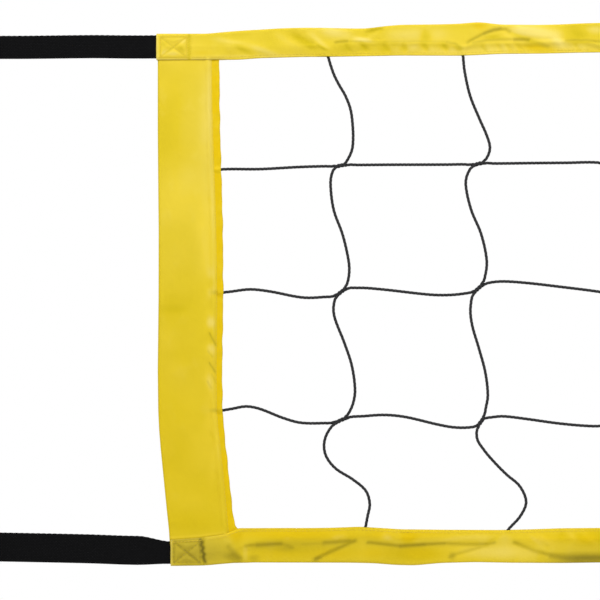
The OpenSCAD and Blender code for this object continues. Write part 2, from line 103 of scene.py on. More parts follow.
def lie(x):
    """How far the hanging net wanders forwards and backwards."""
    return 4 * ease((from_end(x) - 150) / 400) * sine(360 * x / 900)


def wave(x, phase):
    return 1.4 * ease((from_end(x) - 60) / 120) * (0.5 - 0.5 * sine(360 * from_end(x) / 330 + phase))


def top_fold(x):
    return HALF_HEIGHT - 8 * (1 - ease((from_end(x) - 30) / 170)) - wave(x, 0)


def top_width(x):
    return 22.4 + 4.2 * ease((from_end(x) - 40) / 200)


def bottom_fold(x):
    return -HALF_HEIGHT + 2.4 * ease((from_end(x) - 20) / 80) + wave(x, 100)


def bottom_width(x):
    """The bottom tape is level over the band and steps up past the band's flange."""
    width = 21.4 + 7.8 * ease((from_end(x) - FOOT_INSET) / 60)
    over_band = -206.4 - bottom_fold(x)
    t = ease((from_end(x) - 57) / 12)
    return over_band * (1 - t) + width * t


# The near ends of the tapes' edges, as distances from the net's left end and heights.
NEAR_END, FAR_END = 380, 470
TOP_EDGE_E = [
    0, 43, 53, 70, 87, 105, 122, 139, 156, 173, 181, 190, 199, 207, 242, 259, 268, 276, 284, 293, 327,
    345, 362, 379,
]
TOP_EDGE = [
    223.5, 223.5, 224.6, 226, 227, 228.1, 228.6, 228.6, 228.2, 227.9, 228.2, 229.5, 230.4, 231.1, 231.5,
    232, 232.9, 233.4, 232.3, 231.2, 230.8, 231.2, 232, 232.4,
]
TOP_LIP_E = [0, 70, 87, 122, 156, 190, 207, 259, 276, 293, 327, 362, 379]
TOP_LIP = [201, 201.4, 202.8, 203.8, 204, 204.6, 205, 204.8, 205.5, 206.3, 206.4, 207.2, 207.4]
FOOT_EDGE_E = [11, 41, 53, 69, 72, 79, 122, 165, 186, 203, 220, 242, 272, 302, 345, 379]
FOOT_EDGE = [
    -232.2, -231.8, -230.6, -229.3, -229.8, -229.2, -229.3, -229.4, -229.9, -231.3, -231.7, -229.6,
    -228.8, -229.3, -229.4, -228.8,
]
FOOT_LIP_E = [11, 36, 57, 62, 66, 71, 130, 150, 173, 186, 207, 250, 293, 319, 345, 379]
FOOT_LIP = [
    -209.8, -208, -205.2, -203.4, -200.2, -200, -200, -199.7, -198.8, -199.6, -201, -201.5, -201.6,
    -200.9, -199.9, -199.6,
]


def near_edge(x, places, heights_there, beyond):
    """An edge's height: as listed near the net's left end, and by rule further along."""
    e = x + HALF_LENGTH
    t = ease((e - NEAR_END) / (FAR_END - NEAR_END))
    e = np.minimum(e, NEAR_END)
    listed = sum(np.interp(e + shift, places, heights_there) for shift in (-4, 0, 4)) / 3
    return listed * (1 - t) + beyond * t


def top_edge(x):
    return near_edge(x, TOP_EDGE_E, TOP_EDGE, top_fold(x))


def top_depth(x):
    return top_edge(x) - near_edge(x, TOP_LIP_E, TOP_LIP, top_fold(x) - top_width(x))


def foot_edge(x):
    return near_edge(x, FOOT_EDGE_E, FOOT_EDGE, bottom_fold(x))


def foot_depth(x):
    return near_edge(x, FOOT_LIP_E, FOOT_LIP, bottom_fold(x) + bottom_width(x)) - foot_edge(x)


def headline_height(x):
    t = ease((from_end(x) - 40) / 120)
    return TOP_LEVEL * (1 - t) + (top_fold(x) - 15) * t


def footline_height(x):
    t = ease((from_end(x) - FOOT_INSET - 30) / 60)
    return BOTTOM_LEVEL * (1 - t) + (bottom_fold(x) + 20.3) * t


# Heights at which the side band's edges were measured, and there its fold, seam and lip,
# as distances from the net's end.
BAND_HEIGHTS = [
    -224, -202, -198, -184, -167, -150, -133, -116, -99, -64, -4, 55, 107, 141, 158, 193, 216,
]
BAND_FOLD = [11, 9.6, 9.2, 7.7, 6, 4.3, 2.6, 1.2, 0.4, 0, 0.7, 0.8, 0.3, 0, 0, 0, 0]
BAND_SEAM = [61, 60.2, 59.9, 58.6, 57, 55.4, 53.6, 51.6, 50.2, 49.8, 50.4, 49.6, 48, 46.8, 46.3, 46, 46]
BAND_LIP = [72, 69.8, 66, 63.9, 62, 60.3, 58.5, 56.7, 55.4, 55, 56, 55.7, 54.3, 53.3, 53, 52.7, 52.6]


def band_fold(z):
    return np.interp(z, BAND_HEIGHTS, BAND_FOLD)


def band_seam(z):
    return np.interp(z, BAND_HEIGHTS, BAND_SEAM)


def band_lip(z):
    return np.interp(z, BAND_HEIGHTS, BAND_LIP) + 0.35 * sine(z * 16) * sine(z * 3.7 + 50)


# ---------------------------------------------------------------------------
# Finishes
# ---------------------------------------------------------------------------


class Wire:
    """A shader socket that takes part in sums: each operation adds a Math node."""

    def __init__(self, nodes, socket):
        self.nodes = nodes
        self.socket = socket

    def maths(self, operation, *others):
        return self.nodes.maths(operation, self, *others)

    def __add__(self, other):
        return self.maths("ADD", other)

    def __radd__(self, other):
        return self.maths("ADD", other)

    def __sub__(self, other):
        return self.maths("SUBTRACT", other)

    def __rsub__(self, other):
        return self.nodes.maths("SUBTRACT", other, self)

    def __mul__(self, other):
        return self.maths("MULTIPLY", other)

    def __rmul__(self, other):
        return self.maths("MULTIPLY", other)

    def __truediv__(self, other):
        return self.maths("DIVIDE", other)

    def __rtruediv__(self, other):
        return self.nodes.maths("DIVIDE", other, self)

    def __abs__(self):
        return self.maths("ABSOLUTE")

    def sine(self):
        return self.maths("SINE")

    def whole(self):
        return self.maths("FLOOR")

    def at_most(self, other):
        return self.maths("MINIMUM", other)

    def at_least(self, other):
        return self.maths("MAXIMUM", other)


class Nodes:
    """The nodes of one finish, or of the studio's world."""

    def __init__(self, tree):
        self.tree = tree

    def put(self, socket, value):
        if isinstance(value, Wire):
            self.tree.links.new(value.socket, socket)
        else:
            socket.default_value = value

    def node(self, kind, settings=None, inputs=None, output=0):
        made = self.tree.nodes.new(kind)
        for key, value in (settings or {}).items():
            setattr(made, key, value)
        for key, value in (inputs or {}).items():
            self.put(made.inputs[key], value)
        return Wire(self, made.outputs[output])

    def maths(self, operation, *values):
        return self.node("ShaderNodeMath", {"operation": operation}, dict(enumerate(values)))

    def looked_at(self):
        """1 where the camera looks, also by way of a gloss or through glass, and 0 elsewhere."""
        camera, gloss, glass = (self.node("ShaderNodeLightPath", output=f"Is {kind} Ray")
                                for kind in ("Camera", "Glossy", "Transmission"))
        return (camera + gloss + glass).at_most(1)


class Finish(Nodes):
    """A surface finish: one Principled shader and the nodes that feed it."""

    def __init__(self, name, **settings):
        self.material = bpy.data.materials.new(name)
        self.material.use_nodes = True
        super().__init__(self.material.node_tree)
        self.shader = self.tree.nodes["Principled BSDF"]
        for socket, value in settings.items():
            self.set(socket.replace("_", " ").title(), value)

    def set(self, name, value):
        self.put(self.shader.inputs[name], value)

    def mark(self, name):
        """A value that the mesh carries at each of its points."""
        return self.node("ShaderNodeAttribute", {"attribute_name": name}, output="Fac")

    def uv(self):
        """The cut's own coordinates, along and across, in metres."""
        place = self.node("ShaderNodeUVMap", {"uv_map": "cut"})
        return [self.node("ShaderNodeSeparateXYZ", inputs={0: place}, output=axis) for axis in (0, 1)]

    def place(self, *values):
        return self.node("ShaderNodeCombineXYZ", inputs=dict(enumerate(values)))

    def stretched(self, scale, turn=(0, 0, 0)):
        where = self.node("ShaderNodeTexCoord", output="Object")
        inputs = {"Vector": where, "Scale": scale, "Rotation": turn}
        return self.node("ShaderNodeMapping", inputs=inputs)

    def noise(self, scale, detail=2.0, vector=None, roughness=0.5):
        inputs = {"Scale": scale, "Detail": detail, "Roughness": roughness}
        inputs["Vector"] = vector or self.node("ShaderNodeTexCoord", output="Object")
        return self.node("ShaderNodeTexNoise", inputs=inputs)

    def between(self, low, high, value):
        """How far a value lies between two others, from 0 to 1."""
        return self.node("ShaderNodeMapRange", {"clamp": True, "interpolation_type": "SMOOTHSTEP"},
                         {0: value, 1: low, 2: high})

    def blend(self, first, second, factor):
        inputs = {0: factor, 6: first, 7: second}
        return self.node("ShaderNodeMix", {"data_type": "RGBA"}, inputs, output=2)

    def relief(self, height):
        """A height in millimetres, as a bump."""
        bump = {"Height": height, "Distance": MM, "Strength": 1.0}
        self.set("Normal", self.node("ShaderNodeBump", inputs=bump))


def rgb(red, green, blue):
    """A colour as a paint chart gives it, from 0 to 255, in the shader's own terms."""
    def level(value):
        value /= 255
        return value / 12.92 if value <= 0.04045 else ((value + 0.055) / 1.055) ** 2.4
    return (level(red), level(green), level(blue), 1.0)


# Spacings of the cloth's threads, of the webbing's yarns and of the picks across them, in metres.
THREAD_PITCH = 0.0006
YARN_PITCH = 0.00125
PICK_PITCH = 0.0026


def cloth_finish():
    f = Finish("yellow_cloth", sheen_weight=0.05, sheen_roughness=0.5)
    along, across = f.uv()
    painted_shading, rich, see_through_and_shade = f.mark("painted_shading"), f.mark("rich"), f.mark("see_through_and_shade")
    slow = f.noise(11, 2)
    crumple = f.noise(70, 3, f.stretched((1, 1, 0.7), (0, math.radians(35), 0)))
    streak = f.noise(140, 2, f.stretched((0.25, 1, 1)))
    colour = f.blend(rgb(247, 219, 66), rgb(235, 208, 40), f.between(0.3, 0.7, slow))
    # Painted highlight: paler where the crumples of the relief stand up.
    colour = f.blend(colour, rgb(247, 222, 84), f.between(0.55, 0.75, crumple) * 0.4)
    # Painted highlights on folds and edges, painted shade in creases and dips, a richer yellow where
    # the cloth is doubled and in patches, and darkening where what is inside shows through and where
    # shade and shadow are painted along creases, lips and sewing.
    colour = f.blend(colour, rgb(255, 234, 128), (painted_shading * -0.8).at_least(0))
    colour = f.blend(colour, rgb(220, 195, 22), painted_shading.at_least(0))
    colour = f.blend(colour, rgb(240, 203, 4), rich)
    colour = f.blend(colour, rgb(104, 94, 24), see_through_and_shade)
    f.set("Base Color", colour)
    f.set("Roughness", 0.5 + 0.15 * streak)
    f.set("Specular IOR Level", 0.1)
    turns = 2 * math.pi / THREAD_PITCH
    weave = (along * turns).sine() * (across * turns).sine()
    f.relief(weave * 0.03 + crumple * 0.8 + streak * 0.15 + f.noise(260, 2) * 0.12)
    return f.material


def thread_finish(name, first, second, sheen, dull):
    f = Finish(name, sheen_weight=sheen)
    fibre = f.noise(900, 2)
    f.set("Base Color", f.blend(first, second, fibre))
    f.set("Roughness", dull + 0.2 * fibre)
    f.relief(fibre * 0.05)
    return f.material


def cord_finish(name, dark, light):
    f = Finish(name, sheen_weight=0.02, sheen_roughness=0.4)
    along, around = f.uv()
    fibre = f.noise(1, 3, f.place(along * 800, around * 9, 0), 0.6)
    fuzz = f.noise(500, 2)
    f.set("Base Color", f.blend(dark, light, f.between(0.35, 0.8, fibre)))
    f.set("Roughness", 0.62 + 0.25 * fuzz)
    f.set("Specular IOR Level", 0.12)
    f.relief(fibre * 0.08 + fuzz * 0.03)
    return f.material


def webbing_finish():
    f = Finish("black_webbing", sheen_weight=0.01, sheen_roughness=0.4)
    along, across = f.uv()
    column = (across / YARN_PITCH).whole()
    arch = abs((across * (math.pi / YARN_PITCH)).sine())
    pick = (along * (2 * math.pi / PICK_PITCH) + column * math.pi).sine()
    weave = arch * (0.62 + 0.38 * pick)
    speck = f.noise(1, 2, f.place(along * 520, across * 900, 0), 0.6)
    worn = f.noise(24, 3)
    # Painted highlight: the colour is lighter on the yarns' raised tops, where the weave's relief is
    # high.
    light = f.between(0.5, 1.0, weave) * f.between(0.4, 0.7, speck)
    colour = f.blend(rgb(3, 3, 4), rgb(46, 46, 48), light * 0.46)
    f.set("Base Color", f.blend(colour, rgb(30, 30, 31), f.between(0.55, 0.8, worn) * 0.12))
    f.set("Roughness", 0.56 + 0.25 * speck)
    f.set("Specular IOR Level", 0.07)
    f.relief(weave * 0.26 + speck * 0.06)
    return f.material


def plated_finish(name, colour, gloss):
    """Zinc-plated or drawn steel: fine drawing lines, slightly cloudy."""
    f = Finish(name, metallic=1.0)
    cloud = f.noise(160, 3)
    lines = f.noise(700, 2, f.stretched((0.06, 1, 1)))
    rubbed = f.between(0.6, 0.8, f.noise(420, 4))
    dull = tuple(0.66 * c for c in colour[:3]) + (1.0,)
    f.set("Base Color", f.blend(f.blend(colour, dull, cloud), rgb(196, 198, 200), rubbed * 0.5))
    f.set("Roughness", gloss + 0.14 * cloud + 0.1 * lines)
    f.relief(lines * 0.012 + cloud * 0.01)
    return f.material


def coated_finish():
    """Black powder coat with a fine orange peel, and bare specks where it is rubbed."""
    f = Finish("black_coated_metal", coat_roughness=0.35)
    peel = f.noise(900, 2)
    chip = f.between(0.7, 0.76, f.noise(260, 5, roughness=0.7))
    f.set("Base Color", f.blend(rgb(34, 35, 37), rgb(128, 130, 132), chip * 0.7))
    f.set("Metallic", chip * 0.8)
    f.set("Roughness", 0.42 + 0.12 * peel)
    f.set("Coat Weight", 0.25 * (1 - chip))
    f.relief(peel * 0.03 - chip * 0.03)
    return f.material


CLOTH = cloth_finish()
THREAD = thread_finish("yellow_thread", rgb(240, 212, 52), rgb(222, 192, 28), 0.2, 0.55)
# A darker copy of the yellow thread: painted shade for the sewing over the bottom box.
SHADED_THREAD = thread_finish(
    "yellow_thread_painted_shade", rgb(196, 172, 34), rgb(158, 138, 22), 0.2, 0.55)
BLACK_THREAD = thread_finish("black_thread", rgb(24, 24, 26), rgb(58, 58, 60), 0.1, 0.5)
MESH_CORD = cord_finish("black_mesh_cord", rgb(38, 38, 39), rgb(68, 68, 70))
EDGE_CORD = cord_finish("black_edge_cord", rgb(14, 14, 15), rgb(56, 56, 58))
WEBBING = webbing_finish()
BUCKLE_STEEL = plated_finish("zinc_plated_steel", rgb(164, 166, 168), 0.26)
PIN_STEEL = plated_finish("pin_steel", rgb(176, 177, 177), 0.2)
SPRING_STEEL = plated_finish("spring_steel", rgb(158, 160, 163), 0.24)
LEVER_COAT = coated_finish()

# ---------------------------------------------------------------------------
# Mesh builders
# ---------------------------------------------------------------------------


def dress(obj, material, replaces):
    """Gives a piece its finish, and hides the parts of the CAD model it stands in for."""
    obj.data.materials.clear()
    obj.data.materials.append(material)
    if replaces:
        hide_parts(*replaces)


def piece(name, mesh, material, replaces=()):
    """Puts a finished mesh in the scene as a piece of the net itself."""
    obj = bpy.data.objects.new(name, mesh)
    bpy.context.scene.collection.objects.link(obj)
    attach(obj, "net")
    dress(obj, material, replaces)
    return obj


def new_mesh(name, points, faces, cut=None, marks=None):
    """A smooth mesh from points in millimetres and lists of faces with the same number of
    corners. cut holds each face corner's place on the cut, in millimetres."""
    mesh = bpy.data.meshes.new(name)
    points = np.asarray(points, float).reshape(-1, 3) * MM
    corners = np.concatenate([np.asarray(f, np.int32).ravel() for f in faces])
    sizes = np.concatenate([np.full(len(f), np.asarray(f).shape[1], np.int32) for f in faces])
    mesh.vertices.add(len(points))
    mesh.vertices.foreach_set("co", points.astype(np.float32).ravel())
    mesh.loops.add(len(corners))
    mesh.loops.foreach_set("vertex_index", corners)
    mesh.polygons.add(len(sizes))
    first_corners = np.concatenate([[0], np.cumsum(sizes)[:-1]])
    mesh.polygons.foreach_set("loop_start", first_corners.astype(np.int32))
    if cut is not None:
        layer = mesh.uv_layers.new(name="cut")
        places = np.concatenate([c.reshape(-1, 2) for c in cut]) * MM
        layer.data.foreach_set("uv", places.astype(np.float32).ravel())
    for key, values in (marks or {}).items():
        mark = mesh.attributes.new(key, "FLOAT", "POINT")
        mark.data.foreach_set("value", np.asarray(values, np.float32).ravel())
    mesh.update(calc_edges=True)
    mesh.validate()
    mesh.shade_smooth()
    return mesh


def grid_faces(rows, columns, round_it=False):
    """Faces of a grid of points, closed across where round_it is set."""
    wide = columns if round_it else columns - 1
    i, j = np.meshgrid(np.arange(rows - 1), np.arange(wide), indexing="ij")
    k = (j + 1) % columns
    here, there = i * columns, (i + 1) * columns
    return np.stack([here + j, here + k, there + k, there + j], -1).reshape(-1, 4)


def distance_along(path):
    return np.concatenate([[0], np.cumsum(np.linalg.norm(np.diff(path, axis=0), axis=1))])


def even_run(path, step):
    """The same line at an even spacing, and how far along it each point is."""
    path = np.asarray(path, float)
    along = distance_along(path)
    at = np.linspace(0, along[-1], max(int(round(along[-1] / step)), 2) + 1)
    return np.stack([np.interp(at, along, path[:, k]) for k in range(path.shape[1])], 1), at


def unit(vectors):
    return vectors / np.maximum(np.linalg.norm(vectors, axis=-1, keepdims=True), 1e-9)


# How far a strand's middle is from its cord's middle, as a share of the cord's diameter.
STRAND_OUT = 0.14


def twisted_cord(name, path, diameter, lay, step, sides=6, strands=3):
    """A cord of twisted strands along a path. lay is the length of one full turn. The strands
    lie into each other, a little out from the cord's middle."""
    path, at = even_run(path, step)
    run = unit(np.gradient(path, axis=0))
    across = unit(np.cross(run, [0, 1, 0]))
    up = np.cross(run, across)
    out = STRAND_OUT * diameter
    strand_r = diameter / 2 - out
    turn = 2 * np.pi * np.arange(sides) / sides
    rings = np.arange(len(at))
    tapered = np.minimum(np.minimum(rings, rings[::-1]) / 2 + 0.35, 1)
    points, faces, cut = [], [], []
    for s in range(strands):
        angle = 2 * np.pi * (at / lay + s / strands)
        middle = path + out * (np.cos(angle)[:, None] * across + np.sin(angle)[:, None] * up)
        ring = np.cos(turn)[None, :, None] * across[:, None] + np.sin(turn)[None, :, None] * up[:, None]
        first = sum(len(p) for p in points)
        points.append((middle[:, None] + strand_r * tapered[:, None, None] * ring).reshape(-1, 3))
        points.append(np.array([middle[0], middle[-1]]))
        quads = grid_faces(len(at), sides, True)
        u = np.broadcast_to(at[:, None], (len(at), sides)).ravel()
        side_of = quads[:, 0] % sides
        v = np.stack([side_of, side_of + 1, side_of + 1, side_of], 1) / sides * 1000 + 330 * s
        cut.append(np.stack([u[quads], v], -1))
        last = (len(at) - 1) * sides
        k = np.arange(sides)
        low = np.stack([(k + 1) % sides, k, np.full(sides, len(at) * sides)], 1)
        high = np.stack([last + k, last + (k + 1) % sides, np.full(sides, len(at) * sides + 1)], 1)
        faces.append((quads + first, low + first, high + first))
    quads = np.concatenate([f[0] for f in faces])
    ends = np.concatenate([np.concatenate(f[1:]) for f in faces])
    return new_mesh(name, np.concatenate(points), [quads, ends],
                    [np.concatenate([c.reshape(-1, 2) for c in cut]), np.zeros((ends.size, 2))])


def take(obj):
    """Selects one object alone."""
    bpy.ops.object.select_all(action="DESELECT")
    bpy.context.view_layer.objects.active = obj
    obj.select_set(True)


def cloth_piece(name, points, cut, marks, flip, replaces):
    """A sheet of cloth from a grid of points, given its thickness. marks holds its painted light and
    shade, from painted highlight at -1 to painted shade at 1, how rich its yellow is, and how far it
    darkens where what is inside shows through and where shade is painted."""
    rows, columns = points.shape[:2]
    faces = grid_faces(rows, columns)
    if flip:
        faces = faces[:, ::-1]
    painted_shading, rich, see_through_and_shade = marks
    marks = {"painted_shading": np.clip(painted_shading, -1, 1), "rich": np.clip(rich, 0, 1), "see_through_and_shade": np.clip(see_through_and_shade, 0, 1)}
    mesh = new_mesh(name, points, [faces], [cut.reshape(-1, 2)[faces]], marks)
    obj = piece(name, mesh, CLOTH, replaces)
    take(obj)
    wall = obj.modifiers.new("wall", "SOLIDIFY")
    wall.thickness = CLOTH_T * MM
    wall.offset = 0
    bpy.ops.object.modifier_apply(modifier=wall.name)
    return obj


def stitches(name, lines, length, gap, thread, material):
    """Rows of sewing. Each line is a run of points on the cloth's skin and the direction that
    the skin faces. Every stitch dips into the cloth at both of its ends. thread is its radius."""
    # How far along the stitch its rings are, and how high they stand, in thread radii.
    shape = np.array([[0, -0.3], [0.22, 0.75], [0.78, 0.75], [1, -0.3]])
    starts, ends, outs = [], [], []
    for path, out in lines:
        path = np.asarray(path, float)
        along = distance_along(path)
        count = max(int(along[-1] // (length + gap)), 1)
        pitch = along[-1] / count
        a = np.arange(count) * pitch + gap / 2
        b = a + pitch - gap
        for found, at in ((starts, a), (ends, b)):
            found.append(np.stack([np.interp(at, along, path[:, k]) for k in range(3)], 1))
        outs.append(np.broadcast_to(np.asarray(out, float), (count, 3)))
    start, end, out = np.concatenate(starts), np.concatenate(ends), np.concatenate(outs)
    run = unit(end - start)
    side = unit(np.cross(run, out))
    out = np.cross(side, run)
    sides = 5
    turn = 2 * np.pi * np.arange(sides) / sides
    middle = start[:, None] + shape[None, :, :1] * (end - start)[:, None]
    middle = middle + shape[None, :, 1:] * thread * out[:, None]
    ring = np.cos(turn)[:, None] * side[:, None, None] + np.sin(turn)[:, None] * out[:, None, None]
    points = middle[:, :, None] + thread * ring
    count = len(start)
    one = grid_faces(4, sides, True)
    firsts = (np.arange(count) * 4 * sides)[:, None, None]
    whole = (one[None] + firsts).reshape(-1, 4)
    caps = np.stack([np.arange(sides)[::-1], 3 * sides + np.arange(sides)])
    caps = (caps[None] + firsts).reshape(-1, sides)
    # The rings turn from the side towards the outside, so the faces are turned over.
    mesh = new_mesh(name, points, [whole[:, ::-1], caps[:, ::-1]])
    piece(name, mesh, material)


# ---------------------------------------------------------------------------
# Cords
# ---------------------------------------------------------------------------


def wander(i, phase):
    return ease((i - 1) / 2) * sine(i * 73 + phase)


# The first two upright cords, and the rows beside them, pass through these places, given as
# (distance from the net's left end, height). The cords further along take their shapes from them.
FIRST_KNOTS = [
    [(156.2, 110.6), (156.7, 2.2), (156.5, -107.6)], [(274.6, 112.1), (274.1, 5.2), (276.6, -108.9)],
]
KNOT_RISE = [[12, 38, 24], [14, 42, 54]]
HEAD_AND_FOOT = [((143.6, 202), (176.2, -201)), ((260.0, 202), (296.8, -201))]
# One line for each run between knots, from the top tape down.
UPRIGHT_PLACES = [
    [
        [(149.8, 191), (154.4, 181), (160.7, 170), (165.2, 157.5), (167.1, 140), (166.9, 128),
         (165.7, 122.4), (163.2, 117)],
        [(149, 103.5), (147.9, 93), (150.6, 72.5), (158, 52), (162.6, 33), (163.9, 22), (162.6, 11.4)],
        [(150.5, -9.5), (151.5, -20), (159.4, -40.5), (166, -60.5), (168.8, -81), (167.4, -92),
         (163.6, -101)],
        [(145.6, -117.5), (142.3, -128), (144.2, -138.5), (152.3, -148.8), (167, -158.2), (178, -167.8),
         (181.4, -179), (179.6, -189.6)],
    ], [
        [(262.7, 191), (267.2, 170.5), (275.5, 150), (281.2, 137), (284.2, 126.5), (282.4, 118.8)],
        [(265.2, 103.5), (263.6, 93.5), (268.2, 72.6), (276.6, 52.2), (281.4, 30), (280.2, 16.5)],
        [(267.7, -10), (268.8, -25), (274.7, -45.6), (280.2, -66.2), (282.4, -86), (280.6, -97.2)],
        [(273.2, -122.8), (279.4, -133.2), (288, -143.3), (298.4, -153.8), (309.6, -163.7),
         (315.1, -177), (310.4, -189.2)],
    ],
]
# One line for each run between knots, from the side band on.
ROW_PLACES = [
    [
        [(89, 107.8), (120, 109.5), (144, 110.2)],
        [(172, 111.3), (200, 111.5), (247, 111.6), (262, 111.8)],
        [(288, 112.5), (320, 112.8), (350, 113), (376, 113.2)],
    ], [
        [(61.7, 2.6), (78.8, 4.6), (96, 2.8), (123.4, -2.3), (141, -2)],
        [(172, 5.9), (192, 4.6), (233, 0.1), (250, -0.2), (265, 1.4)],
        [(283.6, 10.2), (296, 11.4), (316, 10.1), (343, 7), (378, 2.5), (386, 0.4)],
    ], [
        [(63, -97.8), (75.5, -95.8), (87, -97.8), (107, -105.6), (122, -109.7), (141, -110.1)],
        [(178, -104), (195, -103.1), (212.5, -104.9), (240, -111.3), (254, -113.7), (268, -113.6)],
        [(285.5, -105.1), (296, -104.2), (315.5, -106.4), (345, -110.4), (372, -112.5), (386, -111.8)],
    ],
]
ROW_STARTS = [106.9, 1.5, -99.6]
DRAWN_D = CORD_D + 0.4
MESH_Y = DRAWN_D / 2
MESH_LAY, MESH_STEP = 10.5, 1.15
EDGE_LAY = 13
RUN_STEP = 0.8
# Where a cord ends: off the edge cord's middle for an upright, past the band's seam for a row.
UPRIGHT_END, ROW_END = 1.8, 1.2
TWIST_HALF = 2.9
TWIST_R = 0.8


def sway(x):
    """How far both leaves of a tape swing together."""
    return 0.5 * sine(x * 1.7 + 30) * sine(x * 0.43) * ease((from_end(x) - 80) / 60)


def knot(i, row):
    if i < 2:
        e, z = FIRST_KNOTS[i][row - 1]
        return np.array([e - HALF_LENGTH, 0, z])
    x = -HALF_LENGTH + FIRST_KNOT + i * KNOT_PITCH + 3 * wander(i, 90 * row)
    return np.array([x, 0, 2 + (2 - row) * ROW_PITCH + 2.5 * wander(i, 150 * row + 40)])


def knot_line(i, row):
    """The direction, rising to the right, in which the two cords of a knot twist together."""
    if i < 2:
        rise = KNOT_RISE[i][row - 1]
    else:
        rise = (14, 38, 40)[row - 1] + (3, 8, 15)[row - 1] * wander(i, 110 * row)
    return np.array([math.cos(math.radians(rise)), 0, math.sin(math.radians(rise))])


def entry(i):
    """Where an upright cord enters the top tape and the bottom tape."""
    if i < 2:
        return HEAD_AND_FOOT[i][0][0] - HALF_LENGTH, HEAD_AND_FOOT[i][1][0] - HALF_LENGTH
    return knot(i, 1)[0] - 13 - 3 * wander(i, 20), knot(i, 3)[0] + 21 + 5 * wander(i, 200)


def through(stops, first, last):
    """A smooth line through places that leaves and arrives in given directions."""
    stops = np.array(stops)
    step = np.linalg.norm(np.diff(stops, axis=0), axis=1)
    heading = np.empty_like(stops)
    heading[1:-1] = (stops[2:] - stops[:-2]) / (step[1:] + step[:-1])[:, None]
    heading[0], heading[-1] = first, last
    t = np.linspace(0, 1, 14, endpoint=False)[:, None]
    parts = [(2 * t ** 3 - 3 * t ** 2 + 1) * stops[k] + (3 * t ** 2 - 2 * t ** 3) * stops[k + 1]
             + ((t ** 3 - 2 * t ** 2 + t) * heading[k] + (t ** 3 - t ** 2) * heading[k + 1]) * step[k]
             for k in range(len(step))]
    return np.concatenate(parts + [stops[-1:]])


def placed(places):
    return [np.array([e - HALF_LENGTH, 0, z]) for e, z in places]


def moved(places, old, new, strength):
    """Places between two ends, carried over to two other ends. strength swells or flattens
    their bends."""
    (p, q), (a, b) = old, new
    run, goal = q - p, b - a
    side, out = np.array([-run[2], 0, run[0]]), np.array([-goal[2], 0, goal[0]])
    found = []
    for place in placed(places):
        t, off = (place - p) @ run / (run @ run), (place - p) @ side / (run @ run)
        sideways = strength * off * out * np.linalg.norm(run) / np.linalg.norm(goal)
        found.append(a + t * goal + sideways)
    return found


def upright_ends(i, s):
    """The two ends of an upright cord's run: from the top tape, between knots, to the bottom
    tape, where the cord ends against the edge cord."""
    head, foot = entry(i)
    top = np.array([head, 0, headline_height(head) - UPRIGHT_END])
    bottom = np.array([foot, 0, footline_height(foot) + UPRIGHT_END])
    stops = [top, knot(i, 1), knot(i, 2), knot(i, 3), bottom]
    return stops[s], stops[s + 1]


def upright_places(i, s):
    if i < 2:
        return placed(UPRIGHT_PLACES[i][s])
    like = 1 if i == 2 or sine(i * 97 + 50 * s) > 0 else 0
    strength = 0.9 + 0.22 * wander(i, 60 * s)
    return moved(UPRIGHT_PLACES[like][s], upright_ends(like, s), upright_ends(i, s), strength)


def row_ends(row, s):
    z = ROW_STARTS[row - 1]
    left = -HALF_LENGTH + band_seam(z) + ROW_END
    knots = [knot(i, row) for i in range(UPRIGHTS)]
    stops = [np.array([left, 0, z])] + knots + [np.array([-left, 0, z])]
    return stops[s], stops[s + 1]


def row_places(row, s):
    if s < 3:
        return placed(ROW_PLACES[row - 1][s])
    if s == UPRIGHTS:
        return []
    like = 1 if sine(s * 131 + 70 * row) > 0 else 2
    strength = 0.9 + 0.3 * wander(s, 50 * row)
    return moved(ROW_PLACES[row - 1][like], row_ends(row, like), row_ends(row, s), strength)


def twisted_in(path, i, row, sign):
    """Winds a cord round the other cord of a knot. sign is 1 for the row cord, which runs up
    the knot's line, and -1 for the upright cord, which runs down it."""
    middle, line = knot(i, row), knot_line(i, row)
    normal = np.array([-line[2], 0, line[0]])
    along = distance_along(path)
    near = np.argmin(np.linalg.norm((path - middle)[:, [0, 2]], axis=1))
    s = (along - along[near]) * sign
    weight = 1 - ease((np.abs(s) - TWIST_HALF) / 7)
    reach = TWIST_HALF + 1.6
    turn = 3 * np.pi * (np.clip(s, -reach, reach) / (2 * reach) + 0.5)
    r = sign * TWIST_R * weight[:, None]
    bent = path + r * (np.cos(turn)[:, None] * normal + np.sin(turn)[:, None] * [0, 1, 0])
    bent[:, 1] -= sign * MESH_Y * weight
    return bent


def upright_run(i):
    parts = []
    for s in range(4):
        a, b = upright_ends(i, s)
        first, last = unit(np.array([0.25, 0, -1])), unit(np.array([-0.3, 0, -1]))
        if s > 0:
            first = -knot_line(i, s)
            a = a + TWIST_HALF * first
        if s < 3:
            last = -knot_line(i, s + 1)
            b = b - TWIST_HALF * last
        parts.append(through([a] + upright_places(i, s) + [b], first, last))
    path, _ = even_run(np.concatenate(parts), RUN_STEP)
    along = np.arange(len(path)) * RUN_STEP
    clear = ease((np.minimum(along, along[-1] - along) - 11) / 24)
    path[:, 1] = -MESH_Y * clear + sway(path[:, 0]) * (1 - clear)
    for row in (1, 2, 3):
        path = twisted_in(path, i, row, -1)
    path[:, 1] += lie(path[:, 0])
    return path


